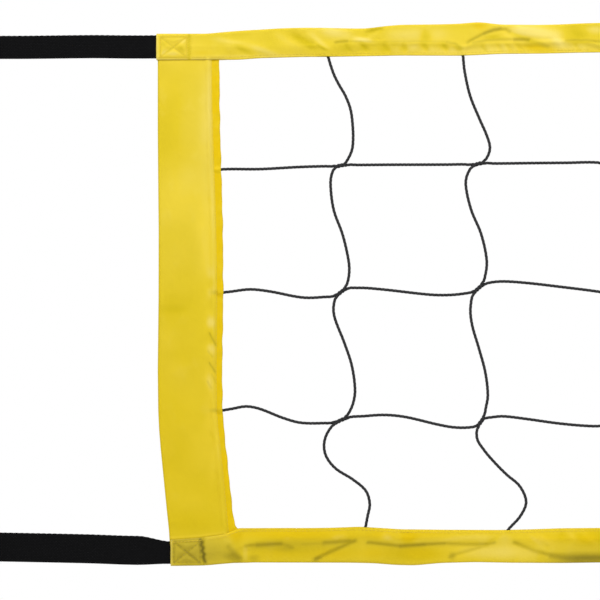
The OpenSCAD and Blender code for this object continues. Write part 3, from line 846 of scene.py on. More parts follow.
def row_run(row):
    parts = []
    for s in range(UPRIGHTS + 1):
        a, b = row_ends(row, s)
        first, last = unit(np.array([1, 0, 0.12])), unit(np.array([1, 0, -0.12]))
        if s > 0:
            first = knot_line(s - 1, row)
            a = a + TWIST_HALF * first
        if s < UPRIGHTS:
            last = knot_line(s, row)
            b = b - TWIST_HALF * last
        parts.append(through([a] + row_places(row, s) + [b], first, last))
    path, _ = even_run(np.concatenate(parts), RUN_STEP)
    along = np.arange(len(path)) * RUN_STEP
    clear = ease((np.minimum(along, along[-1] - along) - 5) / 20)
    path[:, 1] = MESH_Y * clear
    for i in range(UPRIGHTS):
        path = twisted_in(path, i, row, 1)
    path[:, 1] += lie(path[:, 0])
    return path


def mesh_cord(name, path, replaces):
    mesh = twisted_cord(name, path, DRAWN_D, MESH_LAY, MESH_STEP)
    piece(name, mesh, MESH_CORD, [replaces])


def edge_cord(name, path, step, replaces):
    mesh = twisted_cord(name, path, EDGE_CORD_D, EDGE_LAY, step)
    piece(name, mesh, EDGE_CORD, [replaces])


UPRIGHT_RUNS = [upright_run(i) for i in range(UPRIGHTS)]
for i in range(UPRIGHTS):
    mesh_cord(f"upright_cord_{i + 1}", UPRIGHT_RUNS[i], "mesh_uprights")

for row in (1, 2, 3):
    mesh_cord(f"row_cord_{row}", row_run(row), "mesh_rows")


def dips(x, places, depth, reach):
    """How far an edge cord is pulled towards the mesh where the upright cords hang on it."""
    return depth * sum(bell(x - p, reach) for p in places)


HEADS = [entry(i)[0] for i in range(UPRIGHTS)]
FEET = [entry(i)[1] for i in range(UPRIGHTS)]


def headline(x):
    return headline_height(x) - dips(x, HEADS, 3.4, 8)


def footline(x):
    return footline_height(x) + dips(x, FEET, 1.6, 9)


for name, height, inset in (("headline", headline, 0), ("footline", footline, FOOT_INSET)):
    x = np.linspace(-1, 1, 900) * (HALF_LENGTH - inset - SEWN_LENGTH - 0.3)
    edge_cord(f"{name}_rope", np.stack([x, lie(x) + sway(x), height(x)], 1), 1.8, f"{name}_cord")

# ---------------------------------------------------------------------------
# Folds and shades of the cloth
# ---------------------------------------------------------------------------
# Places are given as (distance from the net's left end, height).


# Painted shade: how much deeper in colour a fold 1 mm down is, and how much paler one 1 mm up.
FOLD_SHADE = 0.34


def ridge(e, z, start, end, wide):
    """A soft fold on a line between two places: 1 on the line, fading to both sides and past
    both ends."""
    run_e, run_z = end[0] - start[0], end[1] - start[1]
    length = math.hypot(run_e, run_z)
    along = ((e - start[0]) * run_e + (z - start[1]) * run_z) / length
    off = ((e - start[0]) * run_z - (z - start[1]) * run_e) / length
    fade = min(length * 0.45, 3 + 1.6 * wide)
    ends = ease((along + fade * 0.5) / fade) * ease((length + fade * 0.5 - along) / fade)
    return ends * bell(off, wide)


def swell(e, z, middle, half, turn):
    """A soft round or long patch, 1 in the middle."""
    c, s = math.cos(math.radians(turn)), math.sin(math.radians(turn))
    a = ((e - middle[0]) * c + (z - middle[1]) * s) / half[0]
    b = (-(e - middle[0]) * s + (z - middle[1]) * c) / half[1]
    return np.exp(-a * a - b * b)


def off_lines(e, z, lines):
    """Distance to the nearest of several lines."""
    nearest = np.full(np.shape(e), 99.0)
    for (e0, z0), (e1, z1) in lines:
        run_e, run_z = e1 - e0, z1 - z0
        t = np.clip(((e - e0) * run_e + (z - z0) * run_z) / (run_e ** 2 + run_z ** 2), 0, 1)
        nearest = np.minimum(nearest, np.hypot(e - e0 - t * run_e, z - z0 - t * run_z))
    return nearest


def trail(e, z, points, wide):
    """1 on a line through several places, fading to both sides."""
    return bell(off_lines(e, z, zip(points, points[1:])), wide)


# Each fold: start, end, width, height. Each shade: middle, half sizes, turn, strength, where
# more than 0 is painted shade and less is a painted highlight. Each trail: places, width, strength;
# a trail darkens where a cord inside shows through and along creases, as painted shade.
TOP_FOLDS = [
    ((114, 222.5), (136, 211), 4.2, -0.9), ((100, 222), (126, 212), 4.5, 0.6),
    ((130, 222), (146, 209), 3, 0.5), ((137, 213), (144, 209), 1.5, -0.6),
    ((143, 228), (165, 221), 5, 0.6), ((152, 215.8), (162, 217), 1.3, -0.5),
    ((168, 218), (182, 218), 2, 0.7), ((173, 215.5), (180, 208.5), 2, -0.8),
    ((179, 225.5), (192, 228), 2.4, -0.8), ((198, 222), (226, 223), 5.5, 0.6),
    ((229, 226), (230, 215), 3.5, -0.5), ((265, 216), (280, 224), 1.4, -0.9),
    ((280, 224), (299, 227), 1.5, -0.7), ((298, 226), (326, 215), 3, -0.6),
    ((306, 218.2), (320, 217.4), 1.2, -0.7), ((306, 227), (344, 220), 5, 1.0),
    ((312, 213), (336, 208.5), 3, -0.6), ((352, 228), (364, 217), 5, -0.6),
    ((349, 217.2), (378, 216.4), 1.2, -0.5), ((339, 219), (346, 210), 3, 0.6),
    ((50, 218), (72, 213), 3.5, 0.4), ((66, 211.5), (80, 206.5), 2.6, -0.6),
    ((82, 212), (102, 205.5), 3, 0.5), ((270, 229), (282, 231.5), 3, -0.5),
]
TOP_PUCKERS = [
    (192, 198), (209, 213), (226, 231), (243, 248), (277, 281), (290, 294), (298, 302), (307, 311),
    (356, 361), (160, 164),
]
TOP_FOLDS += [((a, 215.2), (b, 208), 1.5, -0.6) for a, b in TOP_PUCKERS]
TOP_FOLDS += [((a + 4, 214.5), (b + 5, 208), 2.2, 0.4) for a, b in TOP_PUCKERS]
TOP_SHADES = [
    ((68, 221.5), (9, 3), 8, 0.3), ((59, 217.3), (11, 1.8), -8, -0.35),
    ((73.5, 209.3), (8, 2.3), -28, 0.65), ((96, 216), (12, 5.5), -20, 0.35),
    ((89, 209.5), (13, 2.2), -18, -0.4), ((124.5, 217), (14, 4.2), -29, 0.9),
    ((141, 211), (5, 1.3), -27, 0.8), ((138, 217), (9, 2.2), -45, -0.4),
    ((150, 224.5), (11, 4.6), -10, -0.65), ((162, 211.5), (6, 4), 0, 0.6),
    ((176.5, 212), (3.6, 3.2), -42, 0.9), ((175, 218.2), (7, 1.8), -12, -0.9),
    ((185, 226.8), (7, 2.4), 25, 0.8), ((218, 222.5), (22, 6), 0, -0.35),
    ((229, 221), (4.4, 4.4), 0, 0.6), ((241, 223), (7, 5), 0, -0.25),
    ((290, 219.8), (10, 2.4), -3, 0.5), ((312, 219.6), (15, 1.8), -22, 0.7),
    ((322, 225), (18, 4), -8, -1.0), ((343, 216.5), (7, 3), -30, -0.65),
    ((324, 211.5), (13, 2.8), -6, 0.5), ((250, 208.5), (46, 3.6), 0, -0.4),
    ((352, 211), (26, 4.5), 0, -0.4), ((292, 210), (10, 4), 0, -0.25), ((288, 222), (9, 2.6), 20, 0.45),
    ((304, 223.5), (11, 4), 0, -0.4), ((6, 214), (3.5, 2.2), -35, 0.5),
    ((20, 211), (4.2, 2.2), -38, 0.6), ((21.5, 217), (4, 2), 25, -0.6), ((5, 206.5), (4, 2), 40, -0.6),
    ((13, 206), (5, 1.8), 0, -0.5), ((13, 218), (3.5, 1.6), 0, 0.3), ((24.6, 207), (1.2, 3), 0, -0.5),
    ((358.5, 222), (7.5, 5), 0, 0.6), ((375, 226.5), (8, 3), 0, -0.65),
    ((85, 204.6), (45, 1.1), 1, -0.4), ((194.5, 211), (3.8, 3), -35, 0.7),
    ((210, 211.5), (2.8, 2.6), -30, 0.5), ((229, 213), (3.2, 2.2), -30, 0.6),
    ((245.5, 212.5), (3.8, 2.6), -20, 0.8), ((219.5, 212), (4, 2.4), 0, -0.45),
    ((257, 211.5), (3.5, 1.8), -38, 0.7),
]
TOP_RICH = [
    ((275.5, 230), (7, 3), -8, 0.8), ((324, 211.5), (14, 3), -6, 0.7), ((38, 207), (8, 2), 0, 0.35),
    ((225, 209.5), (34, 3.4), 0, 0.1), ((350, 209), (20, 2), 0, 0.2),
]
TOP_TRAILS = [
    ([(152, 215.9), (162, 217)], 1.3, 0.36),
    ([(162, 217), (190, 216.4), (220, 216.9), (248, 216.5)], 1.0, 0.18),
    ([(247, 216.2), (254.5, 214.6), (260.5, 210.6)], 1.4, 0.26),
    ([(265.2, 215.7), (271.7, 219.5), (279.4, 223.5), (286.7, 226.5), (293, 227.7), (298, 227),
      (301, 225.4)], 1.5, 0.3),
    ([(279, 223.3), (286.7, 226.5), (293, 227.7)], 1.6, 0.46),
    ([(269.5, 215.9), (282.4, 217.5), (293, 218), (306, 218.2)], 1.4, 0.28),
    ([(305, 218.2), (317, 217.8)], 1.7, 0.5), ([(317, 217.8), (324, 216.2), (334, 212.5)], 1.4, 0.2),
    ([(349, 217.2), (358, 217.7), (367, 217.6), (378, 216)], 1.2, 0.34),
    ([(136.7, 213), (144, 209)], 1.0, 0.16), ([(276.8, 212.5), (280.5, 209)], 0.9, 0.16),
    ([(179, 225.8), (192, 228.2)], 1.6, 0.14),
]
BOTTOM_FOLDS = [
    ((75, -214.8), (105, -213.4), 1.4, -0.6), ((105, -213.4), (115, -216.5), 1.5, -0.4),
    ((142, -212.6), (165, -210.9), 1.8, -0.6), ((169, -210.7), (153, -218), 1.6, -0.9),
    ((153, -218), (135, -226.5), 1.7, -0.9), ((175, -202), (175, -229), 4, 0.35),
    ((180, -212.2), (207, -215.3), 1.4, -0.7), ((207, -215.3), (246, -213), 1.5, -0.7),
    ((246, -213), (282, -213.4), 1.4, -0.5), ((282, -213.4), (292, -206), 1.8, -0.5),
    ((282, -214.5), (250, -224.5), 1.7, -0.5), ((305, -212), (336, -223), 1.8, -0.8),
    ((336, -223), (380, -222.6), 2.4, -0.7), ((297, -203), (297, -228), 8, 0.35),
    ((75, -214), (75, -229), 3, 0.6), ((63, -222), (66, -229), 3.5, -0.8),
    ((106, -206), (116, -205), 4, 0.5), ((149, -208), (160, -204), 4.5, 0.6),
    ((190, -209), (201, -204), 4, 0.6), ((206, -203), (220, -211), 4, -0.6),
    ((322, -206), (338, -214), 3, 0.5), ((344, -204), (352, -212), 2.5, -0.5),
    ((362, -205), (372, -213), 3, 0.4), ((252, -206), (286, -207), 5, 0.4),
    ((255, -221), (330, -220), 6, 0.4), ((68, -203), (60, -214), 3.5, 0.5),
]
BOTTOM_SHADES = [
    ((111, -208), (4, 2.6), 0, -0.6), ((154, -207), (7, 2.6), 8, -0.75),
    ((196, -207.5), (5, 3), -10, -0.5), ((268, -206.5), (20, 3.5), 0, -0.4),
    ((297, -208), (6, 5), 0, -0.25), ((75, -220.5), (4, 9), 0, -0.45), ((285, -220), (35, 6), 0, -0.45),
    ((214.5, -208), (6, 4), 0, 0.7), ((222, -222), (20, 6), 0, 0.55), ((368, -209), (13, 6), 0, 0.6),
    ((175, -213), (5, 9), 0, -0.2), ((94, -223), (9, 4), 0, -0.15), ((120, -205), (50, 4), 0, 0.3),
    ((344, -208), (5, 3), -40, 0.5), ((330, -207), (6, 4), 0, -0.3), ((130, -219), (30, 6), 0, 0.35),
    ((105, -221), (24, 5), 0, 0.35), ((222, -221), (26, 7), 0, 0.5), ((375, -205), (14, 6), 0, 0.4),
    ((300, -217), (46, 14), 0, -0.3), ((322, -209), (6, 1.8), -38, -0.5),
    ((334, -206), (5, 3), -30, 0.45), ((355, -207), (6, 1.6), -42, -0.55),
    ((347, -205), (4, 2.6), 0, 0.4), ((370, -208.5), (8, 1.6), -38, -0.5),
    ((362, -206), (4, 2), -30, 0.4), ((196, -206.5), (5, 2), -40, -0.45),
    ((221, -210.5), (4, 1.6), 0, -0.5), ((205, -204.5), (4, 1.6), -60, -0.4),
    ((248, -209.5), (10, 2), 4, -0.35), ((262, -204.5), (8, 2), 0, 0.25),
]
BOTTOM_RICH = [
    ((118, -205), (55, 4.6), 0, 0.8), ((66, -207), (8, 6), -40, 0.45), ((214.5, -208), (7, 4), 0, 0.7),
    ((230, -205), (22, 3.5), 0, 0.55), ((190, -205), (14, 3.5), 0, 0.45),
    ((222, -221.5), (22, 6), 0, 0.5), ((335, -207), (22, 5), 0, 0.45), ((368, -208), (13, 6), 0, 0.6),
    ((150, -222), (22, 5), 0, 0.4), ((102, -222), (22, 5), 0, 0.3), ((280, -204), (30, 3), 0, 0.25),
    ((185, -221), (14, 5), 0, 0.4),
]
BOTTOM_SHOWS = [
    ((25.5, -220.5), (15.5, 13), 0, 0.46), ((51, -224), (10, 7), 0, 0.3), ((51, -212), (9, 6), 0, 0.14),
    ((65, -225), (6.5, 3.6), -20, 0.42), ((82, -225.5), (4, 2.4), 0, 0.25),
    ((110, -217.5), (6, 2), 0, 0.14), ((136, -226.3), (3.4, 1.8), 20, 0.3),
    ((370, -227), (25, 4.4), 0, 0.58), ((368, -220), (24, 6), 0, 0.14), ((108, -215), (34, 4), 0, 0.13),
    ((212, -221), (18, 7), 0, 0.07), ((252, -224), (2.4, 3), 0, 0.25),
    ((150, -216), (72, 14), 0, 0.065),
]
BOTTOM_TRAILS = [
    ([(75.4, -215), (84.8, -214.5)], 1.7, 0.3), ([(84.8, -214.5), (105.4, -213.4)], 2, 0.46),
    ([(105.4, -213.4), (114.8, -216.4)], 1.8, 0.22), ([(124, -213.4), (142, -212.5)], 1.3, 0.12),
    ([(142.3, -212.6), (164.5, -210.9)], 2.1, 0.38),
    ([(168.8, -210.7), (153.4, -217.9), (135.4, -226.3)], 1.9, 0.4),
    ([(180, -212.2), (195, -214), (207.4, -215.3)], 1.7, 0.42),
    ([(207.4, -215.3), (218, -214.6), (228.8, -213.9)], 1.8, 0.56),
    ([(228.8, -213.9), (246, -213)], 1.7, 0.42),
    ([(246, -213), (254.5, -213.5), (267.4, -213.9), (282.4, -213.4), (288, -211.9)], 1.6, 0.32),
    ([(282.4, -214.5), (267.4, -218.7), (254.5, -222.2), (250.2, -224.5)], 1.7, 0.19),
    ([(305.1, -211.9), (312.4, -215.3), (323.1, -219.6), (336, -223)], 1.8, 0.36),
    ([(336, -223.2), (350, -225), (384, -224.6)], 2.4, 0.45),
    ([(60.5, -216), (66, -221), (70, -225.5)], 2.6, 0.3),
    ([(36.4, -209.5), (38, -211.8), (36.8, -213.8), (38.9, -216.6), (37.7, -219), (39.8, -221.8),
      (38.8, -224.2), (40.6, -228.5)], 1.6, 0.86),
    ([(14.5, -211), (20, -215.6)], 0.9, 0.3), ([(23, -218.2), (36.4, -229.4)], 0.9, 0.4),
    ([(14.6, -211), (14.2, -229)], 0.9, 0.28), ([(14.5, -229), (20, -224.5)], 0.9, 0.25),
]

# The folds are listed up to KNOWN_REACH and drawn by chance past it.
KNOWN_REACH = 388
chance = np.random.default_rng(11)


def spread_folds(entries, fold_line, cord_line, into, folds, shades, trails):
    """Folds, with their painted shade and highlights, past the near end, round each place where an
    upright cord hangs on the edge cord, and trails where the cord shows through and along the creases.
    into is the sign of the way from the fold to the mesh."""
    pick = chance.uniform
    for p in entries:
        middle = p + HALF_LENGTH
        if middle < KNOWN_REACH + 10 or middle > 2 * HALF_LENGTH - 90:
            continue
        for _ in range(6):
            e = middle + pick(-52, 66)
            if e < KNOWN_REACH:
                continue
            z = cord_line(e - HALF_LENGTH) + into * pick(-0.5, 1.5)
            lean = pick(3, 7)
            folds.append(((e, z), (e + lean, z + into * pick(5.5, 8)), pick(1.2, 1.9), -pick(0.3, 0.6)))
            folds.append(((e + 4, z), (e + lean + 5, z + into * 7), 2.2, pick(0.2, 0.4)))
            shades.append(((e + 3, z + into * 4), (pick(4, 12), 3), 0, pick(0.1, 0.45)))
        for k in range(3):
            e = middle + pick(-55, 60)
            if e < KNOWN_REACH:
                continue
            z = fold_line(e - HALF_LENGTH) + into * pick(3, 11)
            tilt = pick(-4, 5)
            high = pick(0.5, 0.9) * (1 if k else -1)
            folds.append(((e, z), (e + pick(18, 34), z + tilt), pick(3.5, 5.5), high))
            half = (pick(10, 18), pick(2.5, 4.5))
            shades.append(((e + 12, z + tilt / 2), half, pick(-20, 15), -high * 0.9))
        x = np.linspace(p + 5, p + pick(60, 100), 6)
        trails.append(([(a + HALF_LENGTH, cord_line(a)) for a in x], 1.4, pick(0.12, 0.3)))
        run = pick(14, 26)
        start = (middle - 3, cord_line(p) - into)
        end = (middle - run, cord_line(p) - into * pick(7, 10))
        trails.append(([start, end], 1.5, pick(0.1, 0.3)))
        folds.append((start, end, 1.7, -0.7))


spread_folds(HEADS, top_fold, headline, -1, TOP_FOLDS, TOP_SHADES, TOP_TRAILS)
spread_folds(FEET, bottom_fold, footline, 1, BOTTOM_FOLDS, BOTTOM_SHADES, BOTTOM_TRAILS)


def heights(e, z, folds):
    total = np.zeros(e.shape)
    for start, end, wide, high in folds:
        reach = 4 * wide + 4
        near = (e > min(start[0], end[0]) - reach) & (e < max(start[0], end[0]) + reach)
        total[near] += high * ridge(e[near], z[near], start, end, wide)
    return total


def shading(e, z, shades):
    total = np.zeros(e.shape)
    for middle, half, turn, strength in shades:
        near = np.abs(e - middle[0]) < 3 * max(half)
        total[near] += strength * swell(e[near], z[near], middle, half, turn)
    return total


def see_through_and_shade_marks(e, z, trails, patches):
    """How far the cloth darkens: where what is inside shows through, and as painted shade along
    creases. Patches have flat middles.
    """
    total = np.zeros(e.shape)
    for points, wide, strength in trails:
        places = [p[0] for p in points]
        near = (e > min(places) - 8) & (e < max(places) + 8)
        if near.any():
            total[near] = np.maximum(total[near], strength * trail(e[near], z[near], points, wide))
    for middle, half, turn, strength in patches:
        near = np.abs(e - middle[0]) < 3 * max(half)
        flat = 1 - (1 - swell(e[near], z[near], middle, half, turn)) ** 2
        total[near] = 1 - (1 - total[near]) * (1 - strength * flat)
    return total


# Sewn boxes at the corners: the near and far sides, as distances from the net's end, and the
# low and high sides.
TOP_BOX = (2.4, 24.8, 203.4, 220.6)
BOTTOM_BOX = (13.4, 36.2, -229.2, -211.2)


def box_lines(box):
    """The four sides of a sewn box and its cross."""
    near, far, low, high = box
    a, b, c, d = (near, low), (far, low), (far, high), (near, high)
    return [(a, b), (b, c), (c, d), (d, a), (a, c), (b, d)]


def quilting(e, z, box):
    """How far the cloth stands up between the lines of a sewn box, and a mask along the lines for
    the painted shade in their grooves."""
    near, far, low, high = box
    off = off_lines(e, z, box_lines(box))
    inside = ease((e - near + 2) / 2) * ease((far + 2 - e) / 2)
    inside = inside * ease((z - low + 2) / 2) * ease((high + 2 - z) / 2)
    return inside * (1.15 * (1 - bell(off, 2.2)) - 0.15), inside * bell(off, 0.8)


# ---------------------------------------------------------------------------
# Space inside the folded cloth
# ---------------------------------------------------------------------------

BAND_LOW, BAND_HIGH = -223.0, 214.6


def round_sum(a, b):
    """The larger of two heights, with the step between them rounded off."""
    return (np.maximum(a, 0) ** 5 + np.maximum(b, 0) ** 5) ** 0.2


def at_least(gap, room):
    """A gap held open where something lies inside, without a crease."""
    return (np.maximum(gap, 0) ** 12 + np.maximum(room, 0) ** 12) ** (1 / 12)


def over_cord(off, diameter):
    """How far the middle of the cloth stands off beside a cord, off to the cord's side."""
    r = diameter / 2 + CLOTH_T / 2 + 0.22
    return r * bell(off, 1.45 * r)


def nose(d, reach):
    """The round of a fold, d from its outside."""
    return np.sqrt(np.clip(1 - (1 - np.minimum(d / reach, 1)) ** 2, 0, 1))


def band_gap(e, z):
    """Half the space between a band's two leaves, to the middle of the cloth."""
    seam = band_seam(z)
    d, past = e - band_fold(z), e - seam
    gap = 0.75 + 0.35 * ease(d / 12) * ease((seam - 4 - e) / 10)
    gap = round_sum(gap, 1.78 * bell(past + SIDE_CORD_IN, 2.7))
    gap = gap * (1 - 0.55 * bell(past, 0.9))
    flute = 0.5 + 0.5 * sine(z * 21 + 60 * sine(z * 2.3)) * sine(z * 5.3 + 20)
    gap = np.where(past > 0.8, 0.45 + 0.75 * ease((past - 0.8) / 5) * flute, gap)
    for h in ROW_STARTS:
        gap = np.where(past > 0.6, round_sum(gap, 1.5 * bell(z - h, 2.4)), gap)
    upper_strap = ease((z - 201) / 1.5) * ease((28.8 - e) / 1.7)
    lower_strap = ease((-209.8 - z) / 1.5) * ease((39.8 - e) / 1.7)
    gap = round_sum(gap, 1.78 * np.maximum(upper_strap, lower_strap))
    upper_cord = bell(z - headline(-HALF_LENGTH + e), 2.6) * ease((e - 25) / 3)
    lower_cord = bell(z - footline(-HALF_LENGTH + e), 2.6) * ease((e - 36) / 3)
    gap = round_sum(gap, 1.82 * np.maximum(upper_cord, lower_cord))
    return gap * nose(np.maximum(d, 0), 1.6)


# ---------------------------------------------------------------------------
# Tapes
# ---------------------------------------------------------------------------


def way_in(run):
    """An upright cord's way inside a tape: heights, places along the net, and how upright it
    is."""
    run = run[np.argsort(run[:, 2])]
    return run[:, 2], run[:, 0], (run[-1, 2] - run[0, 2]) / np.linalg.norm(run[-1] - run[0])


# How many points of an upright cord's run lie inside a tape.
WAY_STEPS = 22

# into is the sign of the way from the fold to the mesh, and broad_to is how far from the left
# end the tape swells more broadly over its edge cord. sewn is how dark the sewing lines and the
# strap's sewn end are, as painted shade and as the webbing showing through the needle holes;
# mesh_side_shade is painted shade on the mesh side; lip_highlight and lip_shadow are a painted
# highlight and a painted shadow along the lip.
TAPES = {
    "top": dict(
        fold=top_edge, width=top_depth, cord=headline, into=-1, inset=-1.2, box=TOP_BOX, broad_to=150,
        entries=HEADS, ways=[way_in(run[:WAY_STEPS]) for run in UPRIGHT_RUNS],
        folds=TOP_FOLDS, shades=TOP_SHADES, rich=TOP_RICH, trails=TOP_TRAILS, see_through_and_shade=(),
        sewn=0.06, mesh_side_shade=0, lip_highlight=0.6, lip_shadow=0),
    "bottom": dict(
        fold=foot_edge, width=foot_depth, cord=footline, into=1, inset=FOOT_INSET, box=BOTTOM_BOX,
        broad_to=380, entries=FEET, ways=[way_in(run[-WAY_STEPS:]) for run in UPRIGHT_RUNS],
        folds=BOTTOM_FOLDS, shades=BOTTOM_SHADES, rich=BOTTOM_RICH, trails=BOTTOM_TRAILS,
        see_through_and_shade=BOTTOM_SHOWS,
        sewn=0.24, mesh_side_shade=0.3, lip_highlight=0.2, lip_shadow=0.55),
}


def cords_inside(tape, x, z, cord, reach):
    """For each upright cord in a tape: which points are near it, how far to its side they are,
    and whether they are past the edge cord on the mesh's side."""
    for p, (levels, places, upright) in zip(tape["entries"], tape["ways"]):
        near = np.abs(x - p) < reach
        if near.any():
            off = (x[near] - np.interp(z[near], levels, places)) * upright
            yield near, off, ease((tape["into"] * (z[near] - cord[near]) + 2) / 2)


def tape_gap(tape, x, d):
    """Half the space between a tape's two leaves, to the middle of the cloth. d is the
    distance from the tape's fold."""
    e = from_end(x) - tape["inset"]
    lip = tape["width"](x) - d
    z = tape["fold"](x) + tape["into"] * d
    cord = tape["cord"](x)
    open_lip = 0.5 + 0.5 * sine(x * 3.1) * sine(x * 1.13 + 40)
    outside_seam = 0.45 + 0.5 * (np.maximum(2.6 - lip, 0) / 2.6) ** 2 * open_lip
    gap = np.where(lip < 2.6, outside_seam, 0.45 + 0.75 * ease((lip - 2.6) / 6))
    broad = 3.2 + 4.5 * (1 - ease((x + HALF_LENGTH - tape["broad_to"]) / 40))
    gap = round_sum(gap, 1.95 * bell(z - cord, broad))
    for near, off, past_cord in cords_inside(tape, x, z, cord, 24):
        gap[near] = round_sum(gap[near], 1.5 * bell(off, 2.4) * past_cord)
    corner = (2.35 - 0.75 * (1 - ease(lip / 2.2))) * ease((66 - e) / 12)
    gap = round_sum(gap, corner)
    return gap * nose(d, 1.8)


def tape_room(tape, x, z):
    """The least that the middle of a tape's leaf stands off over the edge cord, the upright
    cords and the side band inside it."""
    e, cord = from_end(x), tape["cord"](x)
    room = over_cord(z - cord, EDGE_CORD_D) * ease((e - tape["inset"] - SEWN_LENGTH + 1.5) / 1.5)
    for near, off, past_cord in cords_inside(tape, x, z, cord, 20):
        room[near] = np.maximum(room[near], over_cord(off, DRAWN_D) * past_cord)
    band = (band_gap(e, z) + CLOTH_T + 0.26) * ease((band_lip(z) + 1.4 - e) / 1.4)
    return np.maximum(room, band * ease(BAND_HIGH + 1.2 - z) * ease(z - BAND_LOW + 1.2))


def tape_y(tape, x, d, side):
    """The middle of the cloth, on the front leaf for side -1 and the back leaf for side 1."""
    x, d, side = np.broadcast_arrays(x, d, side)
    z = tape["fold"](x) + tape["into"] * d
    e = x + HALF_LENGTH
    body = ease(d / 3)
    puff, _ = quilting(from_end(x), z, tape["box"])
    end = from_end(x) - tape["inset"]
    welt = 0.3 * bell(end - 1.1, 0.8) - 0.8 * bell(end - 29.2, 1.1)
    gap = tape_gap(tape, x, d) + (puff + welt + 0.8 * heights(e, z, tape["folds"])) * body
    gap = at_least(gap, np.maximum(tape_room(tape, x, z), 0.24) * body)
    return lie(x) + side * gap + sway(x) * body


def tape_stations(tape):
    """Close together at the near end, at the far corner and where each upright cord goes in,
    wider apart between."""
    low, high = -HALF_LENGTH + tape["inset"], HALF_LENGTH - tape["inset"]
    near = np.concatenate([np.arange(low, low + 46, 0.8), np.arange(low + 46, low + 426, 1.25)])
    between = np.linspace(low + 427, high - 45, 440)
    for p in tape["entries"]:
        if low + 434 < p < high - 52:
            between = np.concatenate([between[np.abs(between - p) > 6.5], p + np.arange(-6, 6.1, 1.2)])
    return np.concatenate([near, np.sort(between), np.arange(high - 44, high - 0.5, 1.5), [high]])


def tape_cloth(name, tape, replaces):
    """A tape's cloth, from the front leaf's lip round the fold to the back leaf's lip."""
    x = tape_stations(tape)
    front = np.concatenate([np.linspace(1, 0.1, 25), [0.075, 0.053, 0.034, 0.018, 0.006]])
    back = np.concatenate([[0.006, 0.018, 0.034, 0.06], np.linspace(0.1, 1, 12)])
    share = np.concatenate([front, [0], back])
    side = np.concatenate([-np.ones(len(front)), [-1], np.ones(len(back))])
    x, share = np.meshgrid(x, share, indexing="ij")
    side = np.broadcast_to(side, x.shape)
    d = tape["width"](x) * share
    z = tape["fold"](x) + tape["into"] * d
    y = tape_y(tape, x, d, side)
    e = x + HALF_LENGTH
    _, pressed = quilting(from_end(x), z, tape["box"])
    end = from_end(x) - tape["inset"]
    lip = tape["width"](x) - d
    # The sewn end of the strap inside makes a crease across the tape: painted shade in it, and the
    # strap showing through.
    welt_line = bell(end - 28 - 0.5 * sine(z * 170), 1.3)
    mesh_side = ease((end - 45) / 12)
    # Painted shade in the creases and painted highlights on the ridges of the folds, and the listed
    # painted shade and highlights.
    painted_shading = shading(e, z, tape["shades"]) - FOLD_SHADE * heights(e, z, tape["folds"])
    # Painted shade along the sewn box's lines and the strap's sewn end, and a painted highlight along
    # the tape's end.
    painted_shading += 0.5 * pressed + 0.7 * welt_line - 0.5 * bell(end - 0.6, 1.2)
    # Painted shade on the bottom tape's mesh side.
    painted_shading += tape["mesh_side_shade"] * mesh_side
    # Painted highlight along the lip near the net's end.
    painted_shading -= tape["lip_highlight"] * bell(lip, 1.1) * ease((62 - from_end(x)) / 6)
    # Painted shade in dashes along the box's sewing lines, for the stitches' shadows and the webbing at
    # the needle holes.
    dashes = pressed * (0.5 + 0.5 * sine((e + 2.2 * z) * 150))
    see_through_and_shade = see_through_and_shade_marks(e, z, tape["trails"], tape["see_through_and_shade"])
    see_through_and_shade = np.maximum(see_through_and_shade, tape["sewn"] * np.maximum(dashes, 1.5 * welt_line))
    # Painted shadow along the lip, near the net's end.
    see_through_and_shade = np.maximum(see_through_and_shade, tape["lip_shadow"] * bell(lip - 0.7, 0.9) * ease((28 - end) / 4))
    # A richer yellow in the listed patches, and painted shade on the bottom tape's mesh side.
    rich = shading(e, z, tape["rich"]) + 0.6 * tape["mesh_side_shade"] * mesh_side
    points, cut = np.stack([x, y, z], -1), np.stack([e, side * d], -1)
    obj = cloth_piece(name, points, cut, (painted_shading, rich, see_through_and_shade), tape["into"] > 0, [replaces])


tape_cloth("top_tape_cloth", TAPES["top"], "top_tape")
tape_cloth("bottom_tape_cloth", TAPES["bottom"], "bottom_tape")

# ---------------------------------------------------------------------------
# Side bands
# ---------------------------------------------------------------------------

BAND_FOLDS = [
    ((44, -32.6), (50, -44.4), 1.5, -0.7), ((44, -58.1), (50, -68.7), 1.5, -0.6),
    ((41, -44), (46, -60), 3, 0.5), ((41, -70), (47, -92), 3, 0.5), ((43, -14), (48, -26), 3.5, 0.55),
    ((43, 8), (49, -2), 1.6, -0.4), ((8, -6), (32, -8), 7, -0.5), ((4, -30), (20, -70), 8, 0.6),
    ((26, -90), (38, -150), 10, 0.5), ((12, 60), (30, 110), 12, 0.6), ((34, 60), (44, 20), 5, 0.5),
    ((5, 120), (12, 170), 8, -0.5), ((40, 130), (43, 190), 4, 0.4), ((30, -120), (42, -100), 5, -0.4),
    ((44, -118), (52, -128), 1.6, -0.5), ((47, -150), (54, -158), 1.7, -0.4),
    ((43, 84), (47, 76), 1.6, -0.35), ((14, -180), (40, -176), 9, 0.4),
    ((10, -150), (24, -120), 9, -0.4), ((20, 10), (36, 40), 9, -0.35),
]
